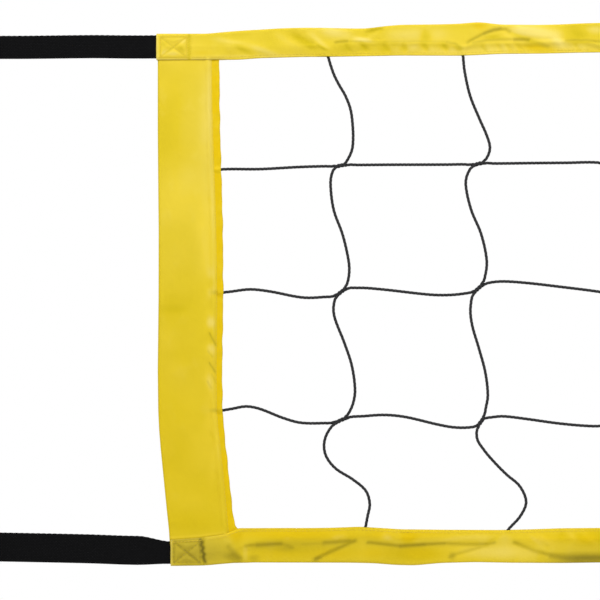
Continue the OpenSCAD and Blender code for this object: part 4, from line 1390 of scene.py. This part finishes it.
BAND_SHADES = [
    ((12, -20), (22, 40), 0, 0.25), ((20, -120), (26, 60), 0, 0.2), ((26, -180), (30, 40), 0, 0.2),
    ((10, 60), (16, 50), 0, 0.1), ((42, 40), (6, 90), 0, -0.25), ((42, 160), (7, 60), 0, -0.2),
    ((45, -24), (3.6, 5), 0, -1.0), ((45.5, -46), (3.4, 5), 15, -0.9), ((44.5, -74), (3.2, 9), 8, -0.8),
    ((30, 150), (20, 50), 0, -0.25), ((14, -13), (12, 3.5), 0, 0.35), ((44, -105), (4, 14), 0, -0.3),
    ((48, -145), (4, 18), -8, -0.35), ((24, 60), (12, 20), 0, 0.15), ((14, -52), (10, 6), 0, 0.25),
    ((45, 3), (3.4, 5), 0, -0.5), ((45, 18), (3.4, 5), 0, -0.45), ((64, -194), (6, 14), 0, 0.9),
    ((30, -196), (40, 12), 0, 0.35),
]
BAND_TRAILS = [
    ([(44.5, -33), (49.5, -43)], 0.9, 0.3), ([(44.5, -58.5), (49, -66)], 0.9, 0.28),
    ([(43, -48), (46.5, -53)], 0.8, 0.14), ([(42.5, -74), (46, -80)], 0.8, 0.14),
    ([(46, -68), (50, -76)], 0.8, 0.12),
]
BAND_SHOWS = [
    ((50.5, 2), (4, 1.6), 0, 0.2), ((50, -99), (4.5, 1.6), 0, 0.22), ((13, -11), (10, 3), 0, 0.05),
]


def band_y(e, z, side, turned):
    """The middle of a band's cloth, on the front leaf for side -1 and the back leaf for side 1.
    turned takes the folds from another height, so that the far band differs from the near one."""
    e, z, side = np.broadcast_arrays(e, z, side)
    d, seam = e - band_fold(z), band_seam(z)
    body = ease(d / 3) * ease((band_lip(z) - e + 3) / 3) * ease((196 - z) / 16) * ease((z + 202) / 10)
    swing = 0.5 * sine(z * 1.9 + turned) + 0.35 * sine(z * 4.1 + e * 2.2 + 2 * turned)
    swing = swing * ease((seam - e + 2) / 8)
    folds = heights(e, z * (1 if turned == 0 else -0.9) + 0.3 * turned, BAND_FOLDS)
    room = over_cord(e - seam + SIDE_CORD_IN, EDGE_CORD_D)
    for h in ROW_STARTS:
        room = np.maximum(room, over_cord(z - h, DRAWN_D) * ease((e - seam - 0.4) / 0.8))
    gap = at_least(band_gap(e, z) + 0.75 * folds * body, np.maximum(room, 0.22) * ease(d / 3))
    return side * gap + swing * body


def band_cloth(side_name, sign, turned):
    """A band's cloth, from the front leaf's lip round the fold to the back leaf's lip."""
    z = np.concatenate([np.arange(BAND_LOW, -204, 0.6), np.arange(-204, 198, 1.35),
                        np.arange(198, BAND_HIGH + 0.6, 0.6)])
    front = np.concatenate([np.linspace(1, 0.74, 17), np.linspace(0.72, 0.06, 32),
                            [0.042, 0.027, 0.015, 0.006, 0.001]])
    back = np.concatenate([[0.001, 0.006, 0.018, 0.036], np.linspace(0.06, 0.72, 28),
                           np.linspace(0.745, 1, 15)])
    share = np.concatenate([front, [0], back])
    side = np.concatenate([-np.ones(len(front)), [-1], np.ones(len(back))])
    z, share = np.meshgrid(z, share, indexing="ij")
    side = np.broadcast_to(side, z.shape)
    fold = band_fold(z)
    d = (band_lip(z) - fold) * share
    e = fold + d
    y = band_y(e, z, side, turned)
    past = e - band_seam(z)
    # Painted shade in the folds' creases, painted highlights on their ridges, and the listed painted
    # shade and highlights.
    painted_shading = shading(e, z, BAND_SHADES) - FOLD_SHADE * heights(e, z, BAND_FOLDS)
    # Painted shade: deeper towards the bottom of the band.
    painted_shading += 0.1 + 0.25 * ease((110 - z) / 120)
    # Painted shade just past the seam, a painted highlight on the cloth curving over the side cord,
    # painted shade deeper towards the bottom of the flange, and painted shade along the fold.
    painted_shading += 0.35 * bell(past - 0.8, 0.9) * (0.6 + 0.4 * sine(z * 6.1 + 40))
    painted_shading -= (0.34 + 0.1 * sine(z * 5.3 + 60 * sine(z * 1.7))) * bell(past + 1.9, 1.5)
    painted_shading += 0.4 * ease(past / 0.8) * ease((-20 - z) / 90)
    painted_shading += 0.45 * bell(d, 1.3)
    patchy = 0.84 + 0.12 * sine(z * 9 + 40 * sine(z * 3.1))
    patchy += 0.14 * sine(z * 41 + 150 * sine(z * 7.3)) * sine(z * 17)
    rich = (0.1 + patchy) * ease(past + 0.3) * (1 - 0.25 * bell(band_lip(z) - e, 0.9))
    # Painted shade: a richer yellow towards the bottom.
    rich = np.maximum(rich, 0.06 + 0.24 * ease((80 - z) / 220))
    # The cords inside show through; painted shade along the creases and the fold.
    see_through_and_shade = see_through_and_shade_marks(e, z, BAND_TRAILS, BAND_SHOWS) + 0.08 * bell(d, 0.9)
    # The bottom tape's lip lies over the band: a painted highlight on the band just above it, and a
    # painted shadow along the lip.
    hem = z - near_edge(-HALF_LENGTH + e, FOOT_LIP_E, FOOT_LIP, 0)
    painted_shading -= 0.55 * bell(hem - 1.7, 1.2) * ease((59 - e) / 4)
    see_through_and_shade += 0.26 * bell(hem + 0.1, 0.8) * ease((59 - e) / 4)
    points, cut = np.stack([sign * (HALF_LENGTH - e), y, z], -1), np.stack([z, side * d], -1)
    obj = cloth_piece(f"side_band_cloth_{side_name}", points, cut, (painted_shading, rich, see_through_and_shade), sign > 0,
                      [f"side_band_{side_name}"])


# Each end of the net: its name, its sign and the turn of its band's folds.
ENDS = (("left", -1, 0), ("right", 1, 200))

for side, sign, turned in ENDS:
    z = np.linspace(-212, 207, 300)
    e = band_seam(z) - SIDE_CORD_IN
    y = (band_y(e, z, -1, turned) + band_y(e, z, 1, turned)) / 2
    path = np.stack([sign * (HALF_LENGTH - e), y, z], 1)
    edge_cord(f"side_rope_{side}", path, 1.4, f"side_cord_{side}")
    band_cloth(side, sign, turned)

# ---------------------------------------------------------------------------
# Sewing
# ---------------------------------------------------------------------------

SKIN = CLOTH_T / 2
LIP_SEAM_IN = 2.2


def tape_line(tape, x, z, side):
    """A sewing line on a tape's skin, through places along the net and their heights."""
    count = max(int(max(abs(x[-1] - x[0]), abs(z[-1] - z[0])) / 0.6), 2)
    t, knots = np.linspace(0, 1, count), np.linspace(0, 1, len(x))
    x, z = np.interp(t, knots, x), np.interp(t, knots, z)
    d = (z - tape["fold"](x)) * tape["into"]
    y = tape_y(tape, x, d, side) + side * SKIN
    return np.stack([x, y, z], 1), (0, side, 0)


for name, tape in TAPES.items():
    lip_seams, box_seams = [], []
    for side in (-1, 1):
        reach = HALF_LENGTH - tape["inset"] - 1.5
        x = np.linspace(-reach, reach, 3000)
        z = tape["fold"](x) + tape["into"] * (tape["width"](x) - LIP_SEAM_IN)
        lip_seams.append(tape_line(tape, x, z, side))
        for end in (-1, 1):
            for (e0, z0), (e1, z1) in box_lines(tape["box"]):
                x = [end * (HALF_LENGTH - e0), end * (HALF_LENGTH - e1)]
                box_seams.append(tape_line(tape, x, [z0, z1], side))
    stitches(f"{name}_tape_sewing", lip_seams, 2.5, 0.7, 0.18, THREAD)
    box_thread = THREAD if name == "top" else SHADED_THREAD
    stitches(f"{name}_box_sewing", box_seams, 2.3, 0.8, 0.18, box_thread)

for side_name, sign, turned in ENDS:
    lines = []
    for side in (-1, 1):
        z = np.arange(-205, 200.5, 0.6)
        e = band_seam(z)
        y = band_y(e, z, side, turned) + side * SKIN
        lines.append((np.stack([sign * (HALF_LENGTH - e), y, z], 1), (0, side, 0)))
    stitches(f"band_sewing_{side_name}", lines, 2.6, 0.8, 0.2, THREAD)

# ---------------------------------------------------------------------------
# Straps
# ---------------------------------------------------------------------------
# A corner is drawn with +X outwards from the net's end, and its plan is X and Y.

SIGNS = {"left": -1, "right": 1}
STRAP_WIDTHS = {"top": 20, "bottom": 25}
PLAN_STEP = 0.4
POLE_OUT = 262.0
POLE_R = 19.0
PIN_OUT = 205.0
PLATE_T = 1.5
FLOOR_Y = -4.2
PIN_HEIGHT = 8.0
BAR_FAR = 27.0
KEEPER_END = 52.0
# Spacings along the webbing of its weave and of the bumps on its upper edge.
WEAVE = 2.6
SCALLOP_PITCH = 4.7


def softened(path, window):
    """A plan route with its bends rounded: each point moves to the middle of its neighbours."""
    path, _ = even_run(path, PLAN_STEP)
    reach = max(int(window / PLAN_STEP / 2), 1)
    padded = np.concatenate([np.repeat(path[:1], reach, 0), path, np.repeat(path[-1:], reach, 0)])
    total = np.cumsum(np.concatenate([np.zeros((1, 2)), padded]), axis=0)
    smooth = (total[2 * reach + 1:] - total[:-2 * reach - 1]) / (2 * reach + 1)
    smooth[0], smooth[-1] = path[0], path[-1]
    return smooth


def arc(middle, radius, start, end, count):
    a = np.radians(np.linspace(start, end, count))
    return np.stack([middle[0] + radius * np.cos(a), middle[1] + radius * np.sin(a)], 1)


def touching(point, side, radius):
    """Where a straight line from a point touches the circle round the pole, on one side."""
    to = np.array([POLE_OUT, 0]) - point
    away = math.atan2(to[1], to[0]) + side * math.asin(radius / np.hypot(*to))
    return point + math.sqrt(to @ to - radius ** 2) * np.array([math.cos(away), math.sin(away)])


def strap_route(inset):
    """Plan of the webbing's middle line: the folded end, out to the pole, round it, back
    under the cam and out as a free tail."""
    half = STRAP_T / 2 + 0.02
    fold_x = -inset - SEWN_LENGTH + half
    turned_end = np.concatenate([[[-inset - 1.5, half]], arc((fold_x, 0), half, 90, 270, 9)])
    leave = PIN_OUT + 17
    middle_r = POLE_R + STRAP_T / 2 + 0.03
    back, front = np.array([leave, 0.0]), np.array([leave, FLOOR_Y - STRAP_T / 2 - 0.3])
    a, b = touching(back, 1, middle_r), touching(front, -1, middle_r)
    start = math.degrees(math.atan2(a[1], a[0] - POLE_OUT))
    end = math.degrees(math.atan2(b[1], b[0] - POLE_OUT))
    tail_y = front[1] - STRAP_T - 0.3
    tail = [[PIN_OUT - 10, front[1]], [PIN_OUT - 20, tail_y], [PIN_OUT - 62, tail_y]]
    rest = np.concatenate([[[-inset - 0.8, -half], [12 - inset, 0], [60, 0]], [back],
                           arc((POLE_OUT, 0), middle_r, start, end, 90), [front], tail])
    return np.concatenate([turned_end, [[-inset - 3, -half]], softened(rest, 4)])


def webbing(name, route, edge, side, level, replaces, step=1.15, scallop=0.28):
    """Webbing along a plan route, with woven edges. edge gives the height of its upper edge for
    1 and of its lower edge for -1, from the route's points and the distances along it."""
    route, at = even_run(route, step)
    run = unit(np.gradient(route, axis=0))
    face = np.stack([-run[:, 1], run[:, 0]], 1)
    high = edge(1, route, at) - scallop * (1 - np.abs(np.sin(np.pi * at / SCALLOP_PITCH)))
    low = edge(-1, route, at) + 0.35 * scallop * (1 - np.abs(np.sin(np.pi * at / WEAVE)))
    half = STRAP_T / 2
    across = np.concatenate([[0, 0.012, 0.035, 0.07, 0.1], np.linspace(0.14, 0.86, 11),
                             [0.9, 0.93, 0.965, 0.988, 1]])
    # Thinner beside each edge, where the edge yarns are bound, and round on the edge itself.
    thick = half * np.array([0.3, 0.75, 0.97, 0.93, 0.86] + [0.97] * 11 + [0.86, 0.93, 0.97, 0.75, 0.3])
    v = np.concatenate([across, across[::-1]])
    off = np.concatenate([thick, -thick[::-1]])
    height = low[:, None] + (high - low)[:, None] * v[None]
    ripple = 1 + 0.03 * np.cos(2 * np.pi * at / WEAVE)[:, None]
    plan = route[:, None] + face[:, None] * (off[None, :, None] * ripple[..., None])
    sign = SIGNS[side]
    points = np.stack([sign * (HALF_LENGTH + plan[..., 0]), plan[..., 1], level + height], -1)
    rows, columns = height.shape
    quads = grid_faces(rows, columns, True)
    width = float(np.median(high - low))
    place = np.stack(np.broadcast_arrays(at[:, None], v * width), -1).reshape(-1, 2)
    cut = place[quads]
    caps = np.stack([np.arange(columns)[::-1], (rows - 1) * columns + np.arange(columns)])
    cap_cut = place[caps]
    if sign < 0:
        quads, cut, caps, cap_cut = (corners[:, ::-1] for corners in (quads, cut, caps, cap_cut))
    mesh = new_mesh(name, points, [quads, caps], [cut, cap_cut])
    return piece(name, mesh, WEBBING, replaces), at[-1]


def corner_level(height):
    return TOP_LEVEL if height == "top" else BOTTOM_RUN_LEVEL


# How far out from the net's end the strap has its full width, and where it runs level.
FULL_WIDTH_OUT, LEVEL_OUT = 18, 135


def strap_edge(sign, route, at, width, inset, sewn_width, sewn_level, spread):
    """Height of a strap's upper edge for sign 1 and its lower edge for -1. From the corner, where
    its middle is at sewn_level, it widens, and it settles from spread to its level run."""
    x = route[:, 0]
    t = ease((x + inset) / (FULL_WIDTH_OUT + inset))
    u = (x - FULL_WIDTH_OUT) / (LEVEL_OUT - FULL_WIDTH_OUT)
    u = ease(u) * 0.5 + np.clip(u, 0, 1) * 0.5
    middle = sewn_level * (1 - t) + spread * t
    middle = np.where(x > FULL_WIDTH_OUT, spread * (1 - u), middle)
    half = (sewn_width * (1 - t) + width * t) / 2
    drift = 0.35 * sine(x * 2.1) * ease((x - 20) / 40) * ease((185 - x) / 30)
    on_the_way_out = at < 0.5 * at[-1]
    return np.where(on_the_way_out, middle + sign * half + drift, sign * width / 2)


BOTTOM_SPREAD = -HALF_HEIGHT + STRAP_WIDTHS["bottom"] / 2 - BOTTOM_RUN_LEVEL
for height, inset, sewn in (("top", 0, (20, 0, 0)), ("bottom", FOOT_INSET, (19.4, -5, BOTTOM_SPREAD))):
    width = STRAP_WIDTHS[height]

    def edge(sign, route, at):
        return strap_edge(sign, route, at, width, inset, *sewn)

    for side in SIGNS:
        name, level = f"strap_{height}_{side}", corner_level(height)
        strap, length = webbing(f"{name}_webbing", strap_route(inset), edge, side, level, [name])


def keeper_route():
    """The keeper runs along the strap, round the buckle's bar and back."""
    leg = PLATE_T / 2 + 0.3 + STRAP_T / 2
    mid = -PLATE_T / 2
    turn = -23.3
    low = mid - leg + STRAP_T
    under = [[turn, mid + leg], [-BAR_FAR - 2, mid + leg], [-BAR_FAR - 7, low], [-KEEPER_END, low]]
    over = [[turn, mid - leg], [-KEEPER_END, mid - leg]]
    route = np.concatenate([softened(under, 2)[::-1], arc((turn, mid), leg, 90, -90, 20)[1:-1], over])
    return np.stack([PIN_OUT + route[:, 0], FLOOR_Y - route[:, 1]], 1)


# The skins that the keeper's sewing lies on: its own in front and the strap's at the back.
KEEPER_FRONT, STRAP_BACK = -3.82, 0.72

for height, width in STRAP_WIDTHS.items():
    for side, sign in SIGNS.items():
        def edge(sign, route, at):
            return np.full(len(at), sign * width / 2)

        name, level = f"keeper_{height}_{side}", corner_level(height)
        keeper, length = webbing(
            f"{name}_webbing", keeper_route(), edge, side, level, [name], step=0.7, scallop=0.12)
        near = sign * (HALF_LENGTH + PIN_OUT - KEEPER_END + 2.5)
        far = sign * (HALF_LENGTH + PIN_OUT - BAR_FAR - 8.5)
        box = (near, far, level - width / 2 + 2.5, level + width / 2 - 2.5)
        lines = [([(x0, y, z0), (x1, y, z1)], (0, out, 0))
                 for y, out in ((KEEPER_FRONT, -1), (STRAP_BACK, 1))
                 for (x0, z0), (x1, z1) in box_lines(box)]
        stitches(f"{name}_sewing", lines, 2.4, 0.7, 0.26, BLACK_THREAD)

# ---------------------------------------------------------------------------
# Buckles
# ---------------------------------------------------------------------------


def eased_copy(node, name, width, segments, material, body):
    """A metal part with its sharp edges broken: a copy of the part, cleaned and bevelled."""
    obj = bpy.data.objects.new(name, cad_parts[node].data.copy())
    bpy.context.scene.collection.objects.link(obj)
    take(obj)
    bpy.ops.object.mode_set(mode="EDIT")
    bpy.ops.mesh.select_all(action="SELECT")
    bpy.ops.mesh.remove_doubles(threshold=0.000002)
    bpy.ops.mesh.dissolve_limited(angle_limit=math.radians(1))
    bpy.ops.object.mode_set(mode="OBJECT")
    broken = obj.modifiers.new("broken edges", "BEVEL")
    broken.width = width * MM
    broken.segments = segments
    broken.limit_method = "ANGLE"
    broken.angle_limit = math.radians(32)
    broken.harden_normals = False
    bpy.ops.object.modifier_apply(modifier=broken.name)
    bpy.ops.object.shade_smooth_by_angle(angle=math.radians(32))
    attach(obj, body)
    dress(obj, material, [node])


SPRING_R = 2.9
WIRE_D = 0.8
SPRING_TURNS = 4
SPRING_PITCH = 1.35
COIL_POINTS = 28
THUMB_ANGLE = 17
SIDE_GAP, SPRING_GAP = 0.4, 0.5
CHEEK_T = 2


def spring_top(width):
    """Height of the spring's first turn, over the middle of a strap this wide."""
    return (width + 1.2) / 2 - SIDE_GAP - SPRING_GAP - WIRE_D / 2


def spring_wire(width):
    """Middle line of the lever's spring, from the pin's middle: in from the cheek, round the
    pin, and out straight under the thumb plate."""
    end = THUMB_ANGLE - 90
    top = spring_top(width)
    out = np.array([math.cos(math.radians(end)), math.sin(math.radians(end)), 0])
    along = np.array([-out[1], out[0], 0])
    up = np.array([0, 0, 1])
    start = SPRING_R * out + up * top
    line = [start - along + up * (SIDE_GAP + SPRING_GAP + CHEEK_T * 0.6 + WIRE_D / 2)]
    for a in np.radians(range(0, 90, 10)):
        line.append(start - math.cos(a) * along + (1 - math.sin(a)) * up)
    for k in range(COIL_POINTS * SPRING_TURNS + 1):
        a = math.radians(end + 360 * k / COIL_POINTS)
        z = top - SPRING_PITCH * k / COIL_POINTS
        line.append(np.array([SPRING_R * math.cos(a), SPRING_R * math.sin(a), z]))
    line.append(line[-1] + 7 * along)
    return np.array(line)


def spring(corner, sign, width, level):
    """The lever's spring, swept along its wire."""
    bpy.ops.curve.primitive_bezier_curve_add()
    wire = bpy.context.object
    wire.name = f"torsion_spring_{corner}"
    curve = wire.data
    curve.splines.clear()
    line = spring_wire(width)
    run = curve.splines.new("POLY")
    run.points.add(len(line) - 1)
    for point, (x, y, z) in zip(run.points, line):
        x, y = sign * (HALF_LENGTH + PIN_OUT + x), FLOOR_Y - PIN_HEIGHT - y
        point.co = (x * MM, y * MM, (level + z) * MM, 1)
    curve.dimensions = "3D"
    curve.bevel_depth = WIRE_D / 2 * MM
    curve.bevel_resolution = 3
    curve.use_fill_caps = True
    take(wire)
    bpy.ops.object.convert(target="MESH")
    bpy.ops.object.mode_set(mode="EDIT")
    bpy.ops.mesh.select_all(action="SELECT")
    bpy.ops.mesh.normals_make_consistent(inside=False)
    bpy.ops.object.mode_set(mode="OBJECT")
    bpy.ops.object.shade_smooth_by_angle(angle=math.radians(40))
    wire = bpy.context.object
    first_turn = level + spring_top(width)
    (first_turn - 0.4) * MM
    (first_turn - SPRING_TURNS * SPRING_PITCH + 0.5) * MM
    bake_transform(wire)
    dress(wire, SPRING_STEEL, [f"lever_spring_{corner}"])


for height, width in STRAP_WIDTHS.items():
    for side, sign in SIGNS.items():
        corner = f"{height}_{side}"
        lever = f"lever_{corner}"
        eased_copy(f"buckle_frame_{corner}", f"buckle_channel_{corner}", 0.28, 2,
                   BUCKLE_STEEL, "net")
        eased_copy(f"cam_lever_{corner}", f"cam_lever_coated_{corner}", 0.2, 2,
                   LEVER_COAT, lever)
        eased_copy(f"lever_pin_{corner}", f"lever_rivet_{corner}", 0.5, 3,
                   PIN_STEEL, "net")
        spring(corner, sign, width, corner_level(height))

# ---------------------------------------------------------------------------
# Floor and light
# ---------------------------------------------------------------------------

WHITE = (1, 1, 1, 1)
AMBIENT_LIGHT = 0.49


def floor_finish():
    """Pale floor that keeps the net's shadow, lifted to white where the camera looks at it."""
    f = Finish("pale_floor")
    f.set("Base Color", (0.8, 0.8, 0.8, 1))
    f.set("Roughness", 0.9)
    f.set("Emission Color", WHITE)
    f.set("Emission Strength", f.looked_at() * 0.45)
    return f.material


bpy.ops.mesh.primitive_circle_add(vertices=96, radius=5, fill_type="NGON", location=(0, 0, -1.6))
floor = bpy.context.object
floor.name = "floor"
floor.data.materials.append(floor_finish())

world = bpy.data.worlds.new("studio")
bpy.context.scene.world = world
world.use_nodes = True
sky = Nodes(world.node_tree)
strength = {"Value": sky.looked_at(), "To Min": AMBIENT_LIGHT, "To Max": 1.0}
background = sky.tree.nodes["Background"]
sky.put(background.inputs["Color"], WHITE)
sky.put(background.inputs["Strength"], sky.node("ShaderNodeMapRange", inputs=strength))


def softbox(name, place, target, size, power):
    """A long soft light, turned to a place."""
    bpy.ops.object.light_add(type="AREA", location=place)
    lamp = bpy.context.object
    lamp.name = name
    lamp.data.shape = "RECTANGLE"
    lamp.data.size, lamp.data.size_y = size
    lamp.data.energy = power
    x, y, z = np.array(target) - np.array(place)
    lamp.rotation_euler = (math.atan2(math.hypot(x, y), -z), 0, math.atan2(-x, y))


softbox("overhead_softbox", (0, -1.1, 1.25), (0, 0, 0), (4.6, 0.5), 24)
softbox("rear_softbox", (0, 1.6, 0.9), (0, 0, 0), (4.6, 0.6), 20)

sun_turn = (math.radians(58), 0, math.radians(-38))
bpy.ops.object.light_add(type="SUN", location=(-2, -2, 2), rotation=sun_turn)
sun = bpy.context.object
sun.name = "side_light"
sun.data.energy = 0.8
sun.data.angle = math.radians(35)
